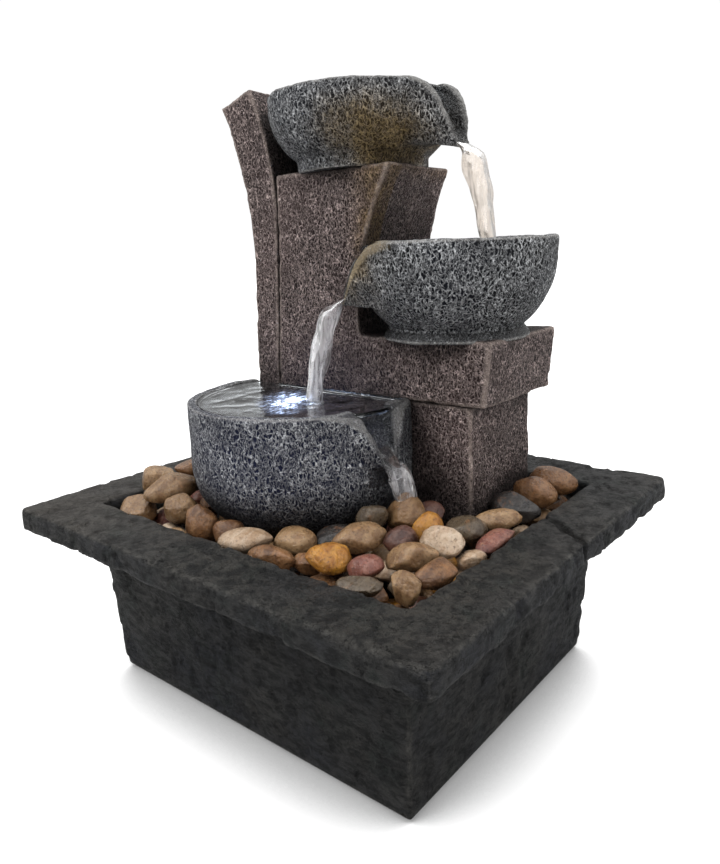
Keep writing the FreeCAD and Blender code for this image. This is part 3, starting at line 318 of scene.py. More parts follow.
def cast_stone(name, groove, crest, tint, size, contrast, stain, painted_lamp_glow):
    """Wrinkled cast stone: dark cells in a pale mesh of threads, partly own colour and partly painted
    shade and highlight, and worn edges.
    """
    shader = Shader(name)
    crests, coarse, breaks, grit = crest_pattern(shader, size)
    level = shader.times(crests, shader.span(grit, 0.3, 0.65, 0.35, 1.0))
    crest_patches = shader.noise(shader.place(), 12 * MM, detail=4.0)
    level = shader.times(level, shader.span(crest_patches, 0.3, 0.7, 0.6, 1.0))
    level = shader.times(level, contrast)
    cloud = shader.span(shader.noise(shader.place(), 45 * MM, detail=3.0), 0.3, 0.7)
    # Pale threads over dark cells: partly the stone's own colour, partly painted highlight on the crests
    # and painted shade in the cells.
    colour = shader.mix(level, shader.mix(shader.times(cloud, 0.8), groove, tint), crest)
    colour = stained(shader, colour, coarse, stain)
    wear = shader.times(shader.value("wear"), shader.span(breaks, 0.30, 0.6, 0.1, 0.6))
    colour = shader.mix(wear, colour, shader.mix(0.6, crest, WORN_STONE))
    lime = shader.times(shader.value("lime"), shader.span(grit, 0.3, 0.6, 0.45, 0.8))
    colour = shader.mix(lime, colour, LIME_CRUST)
    # Wet spout edges: glossy, and lighter with a painted gleam.
    band = shader.times(shader.value("band"), shader.span(grit, 0.3, 0.6, 0.3, 0.75))
    colour = shader.mix(band, colour, PAINTED_WET_GLEAM)
    wet = shader.value("wet")
    colour = shader.mix(shader.times(wet, 0.6), colour, WET_DARK)
    # Painted light: the stone near the lamp tinted blue.
    colour = shader.mix(shader.times(shader.value("painted_lamp_glow"), 0.42), colour, painted_lamp_glow)
    # Painted shade: darker in hollows and where other parts come within reach.
    gap = shader.span(openness(shader, 32 * MM), 0.35, 0.9, 0.8, 0.0)
    hollow = shader.maths("MAXIMUM", shader.times(shader.value("shade"), 0.8), gap)
    colour = shader.mix(hollow, colour, PAINTED_GAP_SHADE)
    height = shader.maths("ADD", crests, shader.times(grit, 0.3))
    gloss = shader.maths("MAXIMUM", wet, shader.maths("MAXIMUM", lime, band))
    shader.put(Base_Color=colour, Normal=shader.bump(height, 0.9 * MM, 1.0),
               Roughness=shader.span(gloss, 0.0, 1.0, 0.55, 0.16),
               Specular_IOR_Level=shader.span(gloss, 0.0, 1.0, 0.14, 0.5))
    return shader.material


def slate_colour(shader, where, grain, dust):
    """Near black, bluer or warmer in clouds, browner on top, with green patches and pale dust."""
    cloud = shader.span(shader.noise(where, 50 * MM, detail=5.0, rough=0.65), 0.36, 0.64)
    base = shader.mix(cloud, SLATE_BLUE, SLATE_WARM)
    up = shader.make("SeparateXYZ", {0: shader.make("NewGeometry").outputs["Normal"]})
    upward = shader.span(up.outputs["Z"], 0.5, 0.9)
    base = shader.mix(shader.times(upward, 0.5), base, SLATE_TOP)
    patches = shader.noise(where, 17 * MM, detail=5.0, rough=0.7)
    base = shader.mix(shader.span(patches, 0.50, 0.66, 0.0, 0.65), base, SLATE_GREEN)
    base = shader.mix(shader.span(grain, 0.43, 0.60, 0.0, 0.85), base, SLATE_DARK)
    return shader.mix(shader.span(dust, 0.55, 0.75, 0.0, 0.4), base, SLATE_DUST)


def slate(name):
    """Riven slate: cleavage steps, pits and the crack darkened with painted shade, lighter broken edges
    and a painted sheen.
    """
    shader = Shader(name)
    where = shader.place()
    grain = shader.noise(shader.place(scale=(1, 1, 2.2)), 6 * MM, detail=7.0, rough=0.72)
    dust = shader.noise(where, 1.4 * MM, detail=4.0, rough=0.7)
    base = slate_colour(shader, where, grain, dust)
    worn = shader.span(shader.noise(where, 5 * MM, detail=5.0, rough=0.7), 0.42, 0.62)
    wear = shader.times(shader.times(shader.value("wear"), worn), 0.5)
    base = shader.mix(wear, base, WORN_SLATE)
    cleft = shader.noise(shader.place(scale=(1, 1, 1.6), turn=(0, 0, 0.5)), 11 * MM, detail=6.0,
                         rough=0.62, distortion=0.8)
    ledge, lower = shader.span(cleft, 0.500, 0.512), shader.span(cleft, 0.585, 0.595)
    seam = shader.times(shader.span(cleft, 0.480, 0.500), shader.span(cleft, 0.520, 0.500))
    base = shader.mix(shader.times(seam, 0.55), base, SLATE_SEAM)
    # Pits and the crack near black: painted shade in these recesses.
    pits = shader.noise(where, 4.5 * MM, detail=3.0, rough=0.75)
    pit = shader.maths("MAXIMUM", shader.span(pits, 0.64, 0.69), shader.value("crack"))
    base = shader.mix(shader.times(pit, 0.9), base, SLATE_PAINTED_PIT_SHADE)
    # Painted sheen where the tray's top catches light.
    painted_sheen = shader.span(shader.value("painted_sheen"), 0.0, 1.0, 0.0, 0.20)
    base = shader.mix(painted_sheen, base, SLATE_PAINTED_SHEEN)
    height = shader.maths("ADD", grain, shader.times(dust, 0.3))
    height = shader.maths("SUBTRACT", height, shader.times(pit, 0.6))
    steps = shader.times(shader.maths("ADD", ledge, lower), 0.45)
    height = shader.maths("ADD", height, steps)
    shader.put(Base_Color=base, Normal=shader.bump(height, 2.2 * MM, 1.0),
               Roughness=shader.span(grain, 0.3, 0.7, 0.36, 0.62), Specular_IOR_Level=0.26)
    return shader.material


def river_pebble(name, light, dark, vein):
    """River pebble: clouded body, iron patches, flow bands, fine pits, a dull shine and painted shade
    between stones.
    """
    shader = Shader(name)
    tone = shader.value("tone")
    push = shader.make("CombineXYZ", {"X": shader.times(tone, 3.1), "Y": tone,
                                      "Z": shader.times(tone, 7.7)})
    where = shader.make("VectorMath", {0: shader.place(), 1: push}, operation="ADD")
    cloud = shader.noise(where, 13 * MM, detail=6.0, rough=0.66, distortion=0.6)
    base = shader.mix(shader.span(cloud, 0.38, 0.66), light, dark)
    base = shader.mix(shader.span(tone, 0.0, 1.0, 0.0, 0.5), base, dark)
    patch = shader.noise(where, 8 * MM, detail=4.0, rough=0.6, distortion=1.5)
    iron = shader.mix(0.6, vein, IRON_PATCH)
    base = shader.mix(shader.span(patch, 0.56, 0.7, 0.0, 0.6), base, iron)
    bands = shader.make("TexWave", {"Vector": where, "Scale": 70.0, "Distortion": 4.0,
                                    "Detail": 4.0, "Detail Scale": 2.2, "Detail Roughness": 0.7})
    base = shader.mix(shader.span(bands.outputs["Fac"], 0.55, 1.0, 0.0, 0.22), base, vein)
    speck = shader.noise(where, 1.1 * MM, detail=4.0, rough=0.75)
    pit = shader.mix(0.75, dark, PEBBLE_PIT)
    base = shader.mix(shader.span(speck, 0.53, 0.66, 0.0, 0.7), base, pit)
    base = shader.mix(shader.span(speck, 0.45, 0.32, 0.0, 0.45), base, light)
    grain = shader.noise(where, 2.6 * MM, detail=5.0, rough=0.7)
    dent = shader.noise(where, 5.5 * MM, detail=2.0, rough=0.6)
    base = shader.mix(shader.span(dent, 0.56, 0.66, 0.0, 0.5), base, dark)
    # Painted shade where the stones crowd each other.
    gap = shader.span(openness(shader, 7 * MM), 0.25, 0.75, 0.55, 0.0)
    base = shader.mix(gap, base, PEBBLE_PAINTED_SHADE)
    height = shader.maths("ADD", speck, grain)
    height = shader.maths("SUBTRACT", height, shader.times(shader.span(dent, 0.54, 0.62), 0.5))
    shader.put(Base_Color=base, Roughness=shader.span(cloud, 0.3, 0.7, 0.16, 0.38),
               Normal=shader.bump(height, 0.45 * MM, 0.8), Specular_IOR_Level=0.5)
    return shader.material


def moulded(name, colour, rough, grain=0.6 * MM, metallic=0.0, variation=0.25, depth=0.05 * MM):
    """Moulded plastic, rubber or metal with a fine grain and slight colour drift."""
    shader = Shader(name)
    where = shader.place()
    drift = shader.noise(where, 12 * MM, detail=4.0)
    fine = shader.noise(where, grain, detail=3.0, rough=0.6)
    darker = tuple(c * (1 - variation) for c in colour[:3]) + (1.0,)
    lighter = tuple(min(1.0, c * (1 + variation) + 0.004) for c in colour[:3]) + (1.0,)
    shader.put(Base_Color=shader.mix(shader.span(drift, 0.3, 0.7), darker, lighter),
               Roughness=shader.span(fine, 0.3, 0.7, max(rough - 0.08, 0.03), rough + 0.08),
               Metallic=metallic, Normal=shader.bump(fine, depth, 0.5))
    return shader.material


def laminated(name, colour, pitch):
    """Stacked sheet metal or windings: fine parallel lines."""
    shader = Shader(name)
    waves = shader.make("TexWave", {"Vector": shader.place(), "Scale": 1 / (6.28 * pitch)},
                        bands_direction="Z")
    lines = waves.outputs["Fac"]
    shade = shader.mix(lines, tuple(c * 0.4 for c in colour[:3]) + (1.0,), colour)
    shader.put(Base_Color=shade, Metallic=0.85, Normal=shader.bump(lines, 0.15 * MM, 0.8),
               Roughness=shader.span(shader.noise(shader.place(), 2 * MM), 0.3, 0.7, 0.3, 0.5))
    return shader.material


def streaked(shader, surface, tint, flow, low, high):
    """Milky streaks over clear water, where it falls freely."""
    glow_through = shader.make("BsdfTranslucent", {"Color": tint})
    veil = shader.make("BsdfDiffuse", {"Color": tint})
    milky = shader.make("MixShader", {0: 0.5, 1: glow_through, 2: veil})
    share = shader.times(shader.span(flow, 0.42, 0.66, low, high), shader.value("fall"))
    return shader.make("MixShader", {0: share, 1: surface, 2: milky}).outputs[0]


def sparkling(shader, surface, colour):
    """Painted points of light and a faint painted halo over clear water, where the lamp below shows
    through.
    """
    strength, halo_share = 7.0, 0.05
    across_view = shader.place(scale=(1, 0.4, 1), turn=(0, 0, -VIEW_TURN))
    dots = shader.noise(across_view, 2.1 * MM, detail=3.0, rough=0.75)
    power = shader.times(shader.span(dots, 0.50, 0.60), shader.value("painted_lamp_glow"))
    halo = shader.times(shader.value("painted_lamp_glow"), halo_share)
    power = shader.times(shader.maths("ADD", power, halo), strength)
    lit = shader.make("Emission", {"Color": colour, "Strength": power})
    return shader.make("AddShader", {0: surface, 1: lit}).outputs[0]


def clear_water(name, tint, streak=None, sparkle=None):
    """Clear water that lets shadow rays through; streak is the least and most milky share."""
    shader = Shader(name)
    flow = shader.noise(shader.place(scale=(1, 1, 0.16)), 2.8 * MM, detail=3.0, rough=0.55,
                        distortion=0.4)
    bumpiness = shader.times(shader.value("fall"), 0.4) if streak else 0.12
    shader.put(Base_Color=tint, Roughness=0.02, IOR=1.33, Transmission_Weight=1.0,
               Normal=shader.bump(flow, 0.5 * MM, bumpiness))
    surface = shader.surface.outputs[0]
    if streak:
        surface = streaked(shader, surface, tint, flow, *streak)
    if sparkle:
        surface = sparkling(shader, surface, sparkle)
    through = shader.make("BsdfTransparent", {"Color": (0.93, 0.95, 0.97, 1.0)})
    path = shader.make("LightPath").outputs["Is Shadow Ray"]
    whole = shader.make("MixShader", {0: path, 1: surface, 2: through})
    shader.wire(whole, shader.output, "Surface")
    return shader.material


def glowing(name, colour, strength):
    """Lit chip of slightly uneven brightness."""
    shader = Shader(name)
    ring = shader.noise(shader.place(), 2 * MM)
    shader.put(Base_Color=colour, Emission_Color=colour, Roughness=0.3,
               Emission_Strength=shader.span(ring, 0.3, 0.7, strength * 0.8, strength))
    return shader.material


# ---- the bowls' own frames ----


class Bowl:
    """Axis, spout direction and sizes of one bowl, given in mm and degrees, held in metres.

    The spout runs from the sill inside the rim to its lip. Its half width is flank at the rim and
    mouth at the lip, and its upper edges are level as far as dip and then fall by drop. freeboard
    is how far the water stands below the rim.
    """

    def __init__(self, node, x, y, turn, radius, flank, lip, drop, dip, mouth, freeboard):
        self.node = node
        self.axis = np.array([x, y, 0]) * MM
        self.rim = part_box(node)[1].z
        self.radius, self.flank, self.mouth = radius * MM, flank * MM, mouth * MM
        self.lip, self.drop, self.dip = lip * MM, drop * MM, dip * MM
        self.out = np.array([math.cos(math.radians(turn)), math.sin(math.radians(turn)), 0])
        self.side = np.array([-self.out[1], self.out[0], 0])
        self.wall, sill_inset = 4.5 * MM, 7 * MM
        self.sill = math.sqrt(self.radius ** 2 - self.flank ** 2) - sill_inset
        self.level = self.rim - freeboard * MM

    def local(self, points):
        """Along the spout, across it, and distance from the axis."""
        flat = points - self.axis
        along, across = flat @ self.out, flat @ self.side
        return along, across, np.hypot(along, across)

    def at(self, along, across, height):
        return self.axis + self.out * along + self.side * across + np.array([0, 0, height])

    def progress(self, along):
        """Share of the chute's run, from 0 at the sill to 1 just past the lip."""
        return (along - self.sill) / (self.lip + 3 * MM - self.sill)

    def chute(self, along):
        """Height of the chute's floor."""
        start, end = self.rim - 3 * MM, self.rim - self.drop - 5 * MM
        return start + (end - start) * self.progress(along)

    def inner_half(self, along):
        """Half width of the chute."""
        part = np.clip(self.progress(along), 0, 1)
        return 0.65 * self.flank * (1 - part) + (self.mouth - 2 * MM) * part


TOP = Bowl("top_bowl", x=-11, y=35, turn=-5, radius=42.3, flank=15, lip=57, drop=25, dip=40,
           mouth=6.5, freeboard=2.0)
MIDDLE = Bowl("middle_bowl", x=39, y=34, turn=223, radius=43, flank=19, lip=49.5, drop=23, dip=34,
              mouth=6.5, freeboard=2.0)
BOTTOM = Bowl("bottom_bowl", x=-20.5, y=-3.8, turn=-9, radius=53, flank=18, lip=57.5, drop=20.5,
              dip=46, mouth=5.4, freeboard=0.9)
BOWLS = (TOP, MIDDLE, BOTTOM)
# How a flank falls: shares of the way from dip to lip, and shares of the drop.
FALL_PLACES, FALL_SHARES = (0, 0.35, 0.62, 0.84, 1), (0, 0.12, 0.34, 0.66, 1)
LIGHT = (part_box("light_lens")[0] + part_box("light_lens")[1]) / 2
# Where painted light of the lamp shows through the lowest pool.
SPARKLE = (-0.0185, -0.0170)
TOWER_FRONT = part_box("tower_body")[0].y
# The column's right side at the height of the middle pool.
COLUMN_RIGHT = 5.2 * MM


def inside_bowl(bowl, points, facing):
    """1 on the wet inner faces of a bowl and its chute."""
    along, across, away = bowl.local(points)
    inward = -(facing @ bowl.out * along + facing @ bowl.side * across) / np.maximum(away, 1e-6)
    hollow = (away < bowl.radius - 0.5 * bowl.wall) & (points[:, 2] < bowl.rim - 0.6 * MM)
    hollow &= (inward > 0.2) | (facing[:, 2] > 0.5)
    channel = (along > bowl.sill - 2 * MM) & (facing[:, 2] > -0.1)
    channel &= np.abs(across) < bowl.inner_half(along) + 0.8 * MM
    return (hollow | channel).astype(float)


# ---- stone pieces ----


def weathered(mesh, rounding, relief, wear_scale):
    """Round the sharp edges, add relief along the normals, and mark worn edges and the hollows for
    painted shade.

    Returns the places and directions of the surface before the relief.
    """
    points = averaged(mesh, coordinates(mesh), rounding)
    move(mesh, points)
    facing = normals(mesh)
    blunted = averaged(mesh, points, 14)
    convex = np.einsum("ij,ij->i", points - blunted, facing)
    wear = smoothstep(0.25 * wear_scale, wear_scale, convex)
    height = relief(points, facing, wear)
    move(mesh, points + facing * height[:, None])
    paint(mesh, "wear", wear)
    # Hollows, for the painted shade of the cast stone.
    paint(mesh, "shade", smoothstep(0.3 * wear_scale, 1.2 * wear_scale, -convex))
    shade_smooth(mesh)
    return points, facing


def cast_relief(points, _, wear):
    """Hand-modelled unevenness with winding wrinkles and knocked edges, alike on every side."""
    wrinkle = ridges(points, 3.0 * MM, 11, (1, 1, 1.6)) * (0.6 + 0.4 * noise(points, 7 * MM, 3))
    swell = 0.5 * MM * layered(points, 24 * MM, 3, 5)
    return swell + 0.22 * MM * wrinkle - 0.7 * MM * wear * np.clip(noise(points, 5 * MM, 9), 0, 1)


def stain_mask(points):
    """Mineral stain below the top spout: on the bowl's belly, the foot and the column's corner."""
    x, y, z = points.T
    along, _, _ = TOP.local(points)
    blotch = np.clip(0.8 + 0.6 * noise(points, 9 * MM, 21), 0, 1.2)
    belly = np.exp(-((along - 30 * MM) / (17 * MM)) ** 2) * smoothstep(262 * MM, 244 * MM, z)
    belly *= smoothstep(222 * MM, 236 * MM, z)
    corner = np.exp(-((x - 15 * MM) / (10 * MM)) ** 2)
    corner *= np.exp(-((z - 210 * MM) / (27 * MM)) ** 2) * (y < 22 * MM)
    return np.clip((0.8 * belly + 1.4 * corner) * blotch, 0, 1)


def spout_edge(bowl, points, reach):
    """Upper edges of a spout's flanks, where water keeps the stone wet and smooth."""
    along, _, _ = bowl.local(points)
    part = np.clip((along - bowl.dip) / (bowl.lip - bowl.dip), 0, 1)
    edge = bowl.rim - bowl.drop * np.interp(part, FALL_PLACES, FALL_SHARES)
    near = smoothstep(reach, 0.5 * reach, np.abs(points[:, 2] - edge + 0.5 * MM))
    return near * smoothstep(-4 * MM, 2 * MM, along - bowl.dip)


def press_down(mesh, points):
    """Push the foot of a bowl 0.9 mm down, so that no gap shows under its rounded edge."""
    depth, reach = 0.9 * MM, 3 * MM
    shape = coordinates(mesh)
    shape[:, 2] -= depth * smoothstep(reach, 0, points[:, 2] - points[:, 2].min())
    move(mesh, shape)


def stone_piece(node, voxel, rounding, material, slot):
    """Cast-stone piece with its wet, stained and limed places and its painted lamp light marked for the
    material.
    """
    mesh = remeshed(node, voxel)
    points, facing = weathered(mesh, rounding, cast_relief, 0.35 * MM)
    wet, lime, band = np.zeros((3, len(points)))
    near_light = 30 * MM
    for bowl in BOWLS:
        if bowl.node == node:
            wet = inside_bowl(bowl, points, facing)
            # Upward spout edges, for their gloss and a painted gleam.
            band = spout_edge(bowl, points, 6 * MM) * smoothstep(0.15, 0.4, facing[:, 2])
            press_down(mesh, points)
    if node == MIDDLE.node:
        _, across, _ = MIDDLE.local(points)
        lime = spout_edge(MIDDLE, points, 3.6 * MM) * (across > 2 * MM)
        band = band * (across <= 0)
    away = np.linalg.norm(points - np.array(LIGHT), axis=1)
    paint(mesh, "wet", wet)
    paint(mesh, "stain", stain_mask(points))
    paint(mesh, "lime", lime)
    paint(mesh, "band", band)
    # Painted lamp light, fading with distance from the lamp's lens.
    paint(mesh, "painted_lamp_glow", np.exp(-(away / near_light) ** 2))
    return new_piece(node + "_stone", mesh, "fountain", material, slot, node)


# Points along the crack, in mm from the fountain's middle.
CRACK = ((84, 27), (92, 20), (97, 19), (103, 13), (108, 11), (116, 4))


def crack_mask(points):
    """Old crack across the right side of the rim, crooked and uneven in width."""
    reach = np.full(len(points), 1.0)
    shift = 1.2 * MM * noise(points, 4 * MM, 93)
    for (ax, ay), (bx, by) in zip(CRACK, CRACK[1:]):
        start, run = np.array([ax, ay]) * MM, np.array([bx - ax, by - ay]) * MM
        part = np.clip((points[:, :2] - start) @ run / (run @ run), 0, 1)
        gap = points[:, :2] - start - part[:, None] * run
        reach = np.minimum(reach, np.linalg.norm(gap, axis=1) + shift)
    width = (2.1 + 1.4 * noise(points, 5 * MM, 95)) * MM
    return smoothstep(1.0, 0.3, reach / width) * (points[:, 2] > 78 * MM)


def slate_relief(points, facing, wear):
    """Split slate: stepped sheets, shallow ripples and chips; plain where it meets the table."""
    sheets = layered(points, 44 * MM, 3, 31, (1.6, 1.6, 0.8))
    stairs = 4.5
    steps = np.floor(sheets * stairs)
    part = sheets * stairs - steps
    terrace = (steps + smoothstep(0.42, 0.58, part)) / stairs
    ripple = layered(points, 10 * MM, 4, 47, (1.3, 1.3, 1.3), 0.55)
    flutes = layered(points, 8 * MM, 2, 61, (1.0, 1.0, 3.0))
    chip = np.clip(noise(points, 6 * MM, 53) + 0.1, 0, 1) * wear
    upward = np.abs(facing[:, 2]) > 0.8
    height = 0.7 * MM * terrace
    height += np.where(upward, 0.30, 0.26) * MM * ripple + np.where(upward, 0, 0.22) * MM * flutes
    dents = np.clip(layered(points, 8 * MM, 4, 83, (1, 1, 1.5), 0.6) - 0.28, 0, 0.6)
    height -= 1.0 * MM * chip + 1.3 * MM * crack_mask(points) + 1.5 * MM * dents
    return (height + 0.25 * MM) * smoothstep(1.5 * MM, 9 * MM, points[:, 2])


def tray_piece(node, voxel, material):
    """Slate part of the tray, paler towards its left and right ends where the top catches light: a
    painted sheen.
    """
    mesh = remeshed(node, voxel)
    points, facing = weathered(mesh, 2, slate_relief, 0.45 * MM)
    if node == "tray_basin":
        # The basin's edge reaches up into the rim, so that no gap shows between them.
        shape = coordinates(mesh)
        shape[:, 2] += 1.2 * MM * smoothstep(73 * MM, 75.5 * MM, points[:, 2])
        move(mesh, shape)
    # Painted sheen on upward faces, strongest towards the left end.
    left = smoothstep(20 * MM, -95 * MM, points[:, 0])
    right = 0.35 * smoothstep(70 * MM, 110 * MM, points[:, 0])
    upward = smoothstep(0.5, 0.9, facing[:, 2])
    patchy = 0.8 + 0.2 * noise(points, 20 * MM, 77)
    # The crack, darkened in the slate with painted shade.
    paint(mesh, "crack", crack_mask(points))
    paint(mesh, "painted_sheen", np.maximum(left, right) * upward * patchy)
    return new_piece(node + "_slate", mesh, "tray", material, "slate", node)


# ---- pebbles ----


def islands(node):
    """Point sets of the separate solids of a CAD node."""
    work = bmesh.new()
    work.from_mesh(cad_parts[node].data)
    bmesh.ops.remove_doubles(work, verts=work.verts, dist=1e-6)
    unseen, found = set(work.verts), []
    while unseen:
        front, group = [unseen.pop()], []
        while front:
            vertex = front.pop()
            group.append(vertex)
            for edge in vertex.link_edges:
                other = edge.other_vert(vertex)
                if other in unseen:
                    unseen.remove(other)
                    front.append(other)
        found.append(np.array([v.co[:] for v in group]))
    work.free()
    return sorted(found, key=lambda points: tuple(points.mean(0).round(5)))


def ball():
    """Unit icosphere as points and triangles."""
    work = bmesh.new()
    bmesh.ops.create_icosphere(work, subdivisions=5, radius=1)
    points = np.array([v.co[:] for v in work.verts])
    faces = np.array([[v.index for v in f.verts] for f in work.faces])
    work.free()
    return points, faces


UNIT_BALL = ball()
SWELL = 1.05


def pebble_points(shape, draw):
    """Water-worn stone in the place and attitude of a CAD ellipsoid; some are more angular."""
    centre = (shape.max(0) + shape.min(0)) / 2
    _, axes = np.linalg.eigh(np.cov((shape - centre).T))
    half = np.abs((shape - centre) @ axes).max(0)
    unit, seed = UNIT_BALL[0], draw.randrange(10000)
    angular = draw.random() ** 1.5
    lumps = 0.12 * noise(unit + seed, 1.2, seed) + 0.05 * noise(unit, 0.55, seed)
    lumps += (0.012 + 0.03 * angular) * layered(unit, 0.3, 3, seed + 7)
    stone = unit * (1.05 + lumps)[:, None]
    for _ in range(4 + int(7 * angular)):
        cut = np.array([draw.gauss(0, 1) for _ in range(3)])
        cut /= np.linalg.norm(cut)
        over = stone @ cut - draw.uniform(0.62, 0.86)
        soft = np.where(over > 0, over, 0) ** (1.25 - 0.2 * angular)
        stone -= np.outer((0.7 + 0.25 * angular) * soft, cut)
    return (stone * half * SWELL) @ axes.T + centre


def pebble_piece(kind, material):
    """All stones of one colour, each with a tone of its own."""
    node = "pebbles_" + kind
    draw = random.Random(kind)
    count = len(UNIT_BALL[0])
    points, faces, tones = [], [], []
    for number, shape in enumerate(islands(node)):
        points.append(pebble_points(shape, draw))
        faces.append(UNIT_BALL[1] + number * count)
        tones += [draw.random()] * count
    mesh = mesh_from(node, np.concatenate(points), np.concatenate(faces).tolist())
    paint(mesh, "tone", tones)
    shade_smooth(mesh)
    return new_piece(node + "_stones", mesh, "tray", material, "pebble_" + kind, node)


# ---- water ----


def pool_edge(bowl, angle):
    """Distance from the axis to the pool's edge in one direction."""
    clearance, run_on = 0.2 * MM, 3.2 * MM
    reach = bowl.radius - bowl.wall - clearance
    x, y = math.cos(angle), math.sin(angle)
    aside = abs(x * bowl.side[0] + y * bowl.side[1]) * bowl.radius
    if x * bowl.out[0] + y * bowl.out[1] > 0:
        reach += run_on * smoothstep(0.7 * bowl.flank, 0.5 * bowl.flank, aside)
    # The tower stands in the back of the lowest bowl and in the left of the middle one.
    if bowl is BOTTOM and y > 0:
        reach = min(reach, (TOWER_FRONT - bowl.axis[1] - clearance) / y)
    if bowl is MIDDLE and x < 0:
        hit = (COLUMN_RIGHT - bowl.axis[0]) / x
        if bowl.axis[1] + hit * y > TOWER_FRONT:
            reach = min(reach, hit)
    return reach


def sheet_faces(rings, spokes):
    """Faces of two stacked discs of rings and spokes, joined at their edge."""
    count = (rings + 1) * spokes
    faces = []
    for ring in range(rings):
        for spoke in range(spokes):
            a, b = ring * spokes + spoke, ring * spokes + (spoke + 1) % spokes
            faces.append((a, a + spokes, b + spokes, b))
            faces.append((a + count, b + count, b + count + spokes, a + count + spokes))
    for spoke in range(spokes):
        a, b = rings * spokes + spoke, rings * spokes + (spoke + 1) % spokes
        faces.append((a, a + count, b + count, b))
    return faces


def weld(mesh):
    """Join the points that lie on each other and turn all faces outwards."""
    work = bmesh.new()
    work.from_mesh(mesh)
    bmesh.ops.remove_doubles(work, verts=work.verts, dist=1e-7)
    bmesh.ops.recalc_face_normals(work, faces=work.faces)
    work.to_mesh(mesh)
    work.free()


def paint_sparkle(mesh, level):
    """Where painted light shines out of the water: narrow across the view and long away from it."""
    points = coordinates(mesh)
    x, y = (points[:, :2] - np.array(SPARKLE)).T
    across = x * math.cos(VIEW_TURN) + y * math.sin(VIEW_TURN)
    away = y * math.cos(VIEW_TURN) - x * math.sin(VIEW_TURN)
    on_top = points[:, 2] > level - 1 * MM
    spot = np.exp(-(across / (6.5 * MM)) ** 2 - (away / (13 * MM)) ** 2)
    paint(mesh, "painted_lamp_glow", spot * on_top)


def pool(name, bowl, landing, ripple, material):
    """Closed sheet of water with rings round the point where the stream lands."""
    rings, spokes, thick = 90, 240, 1.5 * MM
    grid = []
    for ring in range(rings + 1):
        for spoke in range(spokes):
            angle = 2 * math.pi * spoke / spokes
            reach = pool_edge(bowl, angle) * (ring / rings) ** 0.8
            grid.append(bowl.axis + np.array([math.cos(angle), math.sin(angle), 0]) * reach)
    grid = np.array(grid)
    away = np.linalg.norm(grid[:, :2] - np.array(landing[:2]), axis=1)
    wave = np.sin(away / (1.5 * MM)) * np.exp(-away / (9 * MM)) * ripple
    wave += ripple * 0.35 * layered(grid, 7 * MM, 2, 71)
    edge = np.repeat(np.linspace(0, 1, rings + 1), spokes)
    top = grid + np.array([0, 0, bowl.level])
    top[:, 2] += wave * (1 - edge ** 6) + 0.5 * MM * edge ** 24
    under = grid + np.array([0, 0, bowl.level - thick])
    mesh = mesh_from(name, np.concatenate([top, under]), sheet_faces(rings, spokes))
    weld(mesh)
    if bowl is BOTTOM:
        paint_sparkle(mesh, bowl.level)
    shade_smooth(mesh)
    return new_piece(name, mesh, "fountain", material, "lens_clear")


def smooth_path(stations, steps):
    """Rows of place, width, thickness and fall on a smooth curve through the stations."""
    knots = np.array([list(point) + [width, thick, free] for point, width, thick, free in stations])
    ends = np.vstack([2 * knots[0] - knots[1], knots, 2 * knots[-1] - knots[-2]])
    rows = []
    for place in np.linspace(0, len(knots) - 1 - 1e-9, steps):
        index = int(place)
        part = place - index
        a, b, c, d = ends[index:index + 4]
        rows.append(0.5 * (2 * b + (c - a) * part + (2 * a - 5 * b + 4 * c - d) * part ** 2
                           + (3 * b - a - 3 * c + d) * part ** 3))
    return np.array(rows)


def stream(name, stations, material, across, seed):
    """Falling water along its stations: (point, width, thickness, 1 in free fall)."""
    steps, around = 170, 40
    rows = smooth_path(stations, steps)
    heading = np.gradient(rows[:, :3], axis=0)
    heading /= np.linalg.norm(heading, axis=1)[:, None]
    side = np.array(across) / np.linalg.norm(across)
    points = []
    for (x, y, z, width, thick, _), ahead in zip(rows, heading):
        flat = side - ahead * (side @ ahead)
        flat /= np.linalg.norm(flat)
        face = np.cross(flat, ahead)
        for step in range(around):
            angle = 2 * math.pi * step / around
            points.append(np.array([x, y, z]) + flat * math.cos(angle) * width / 2
                          + face * math.sin(angle) * thick / 2)
    points, middle = np.array(points), np.repeat(rows[:, :3], around, axis=0)
    free = np.clip(np.repeat(rows[:, 5], around), 0, 1)
    swell = 0.22 * noise(points, 4 * MM, seed, (1, 1, 4)) + 0.14 * noise(points, 7 * MM, seed + 1)
    points = middle + (points - middle) * (1 + swell * free)[:, None]
    faces = [(r * around + s, r * around + (s + 1) % around,
              (r + 1) * around + (s + 1) % around, (r + 1) * around + s)
             for r in range(steps - 1) for s in range(around)]
    faces.append(tuple(range(around))[::-1])
    faces.append(tuple((steps - 1) * around + s for s in range(around)))
    mesh = mesh_from(name, points, faces)
    paint(mesh, "fall", free)
    shade_smooth(mesh)
    return new_piece(name, mesh, "fountain", material, "lens_clear")


def fall(bowl, landing, widths, depths):
    """Stations down the last of a bowl's chute, off its lip and in free fall to the landing.

    widths and depths of the free stream are in mm.
    """
    film, filled = 1.0 * MM, 0.85
    stations = []
    for part in (0.72, 0.84, 0.96):
        along = bowl.sill + (bowl.lip - bowl.sill) * part
        width = 2 * bowl.inner_half(along) * filled
        stations.append((bowl.at(along, 0, bowl.chute(along) + 0.3 * MM), width, film, 0))
    end = bowl.lip + 2.5 * MM
    lip = bowl.at(end, 0, bowl.chute(end) + 0.5 * MM)
    landing = np.array(landing)
    for part, width, depth in zip((0.0, 0.12, 0.35, 0.68, 1.0), widths, depths):
        forward = part ** 0.6
        point = lip + (landing - lip) * np.array([forward, forward, part])
        stations.append((point, width * MM, depth * MM, min(1.0, 0.4 + 5 * part)))
    return stations


# ---- carried-over CAD nodes ----


def dress_nodes(finish):
    """Give each remaining CAD node its material."""
    for node, material in finish.items():
        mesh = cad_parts[node].data
        mesh.materials.clear()
        mesh.materials.append(material)


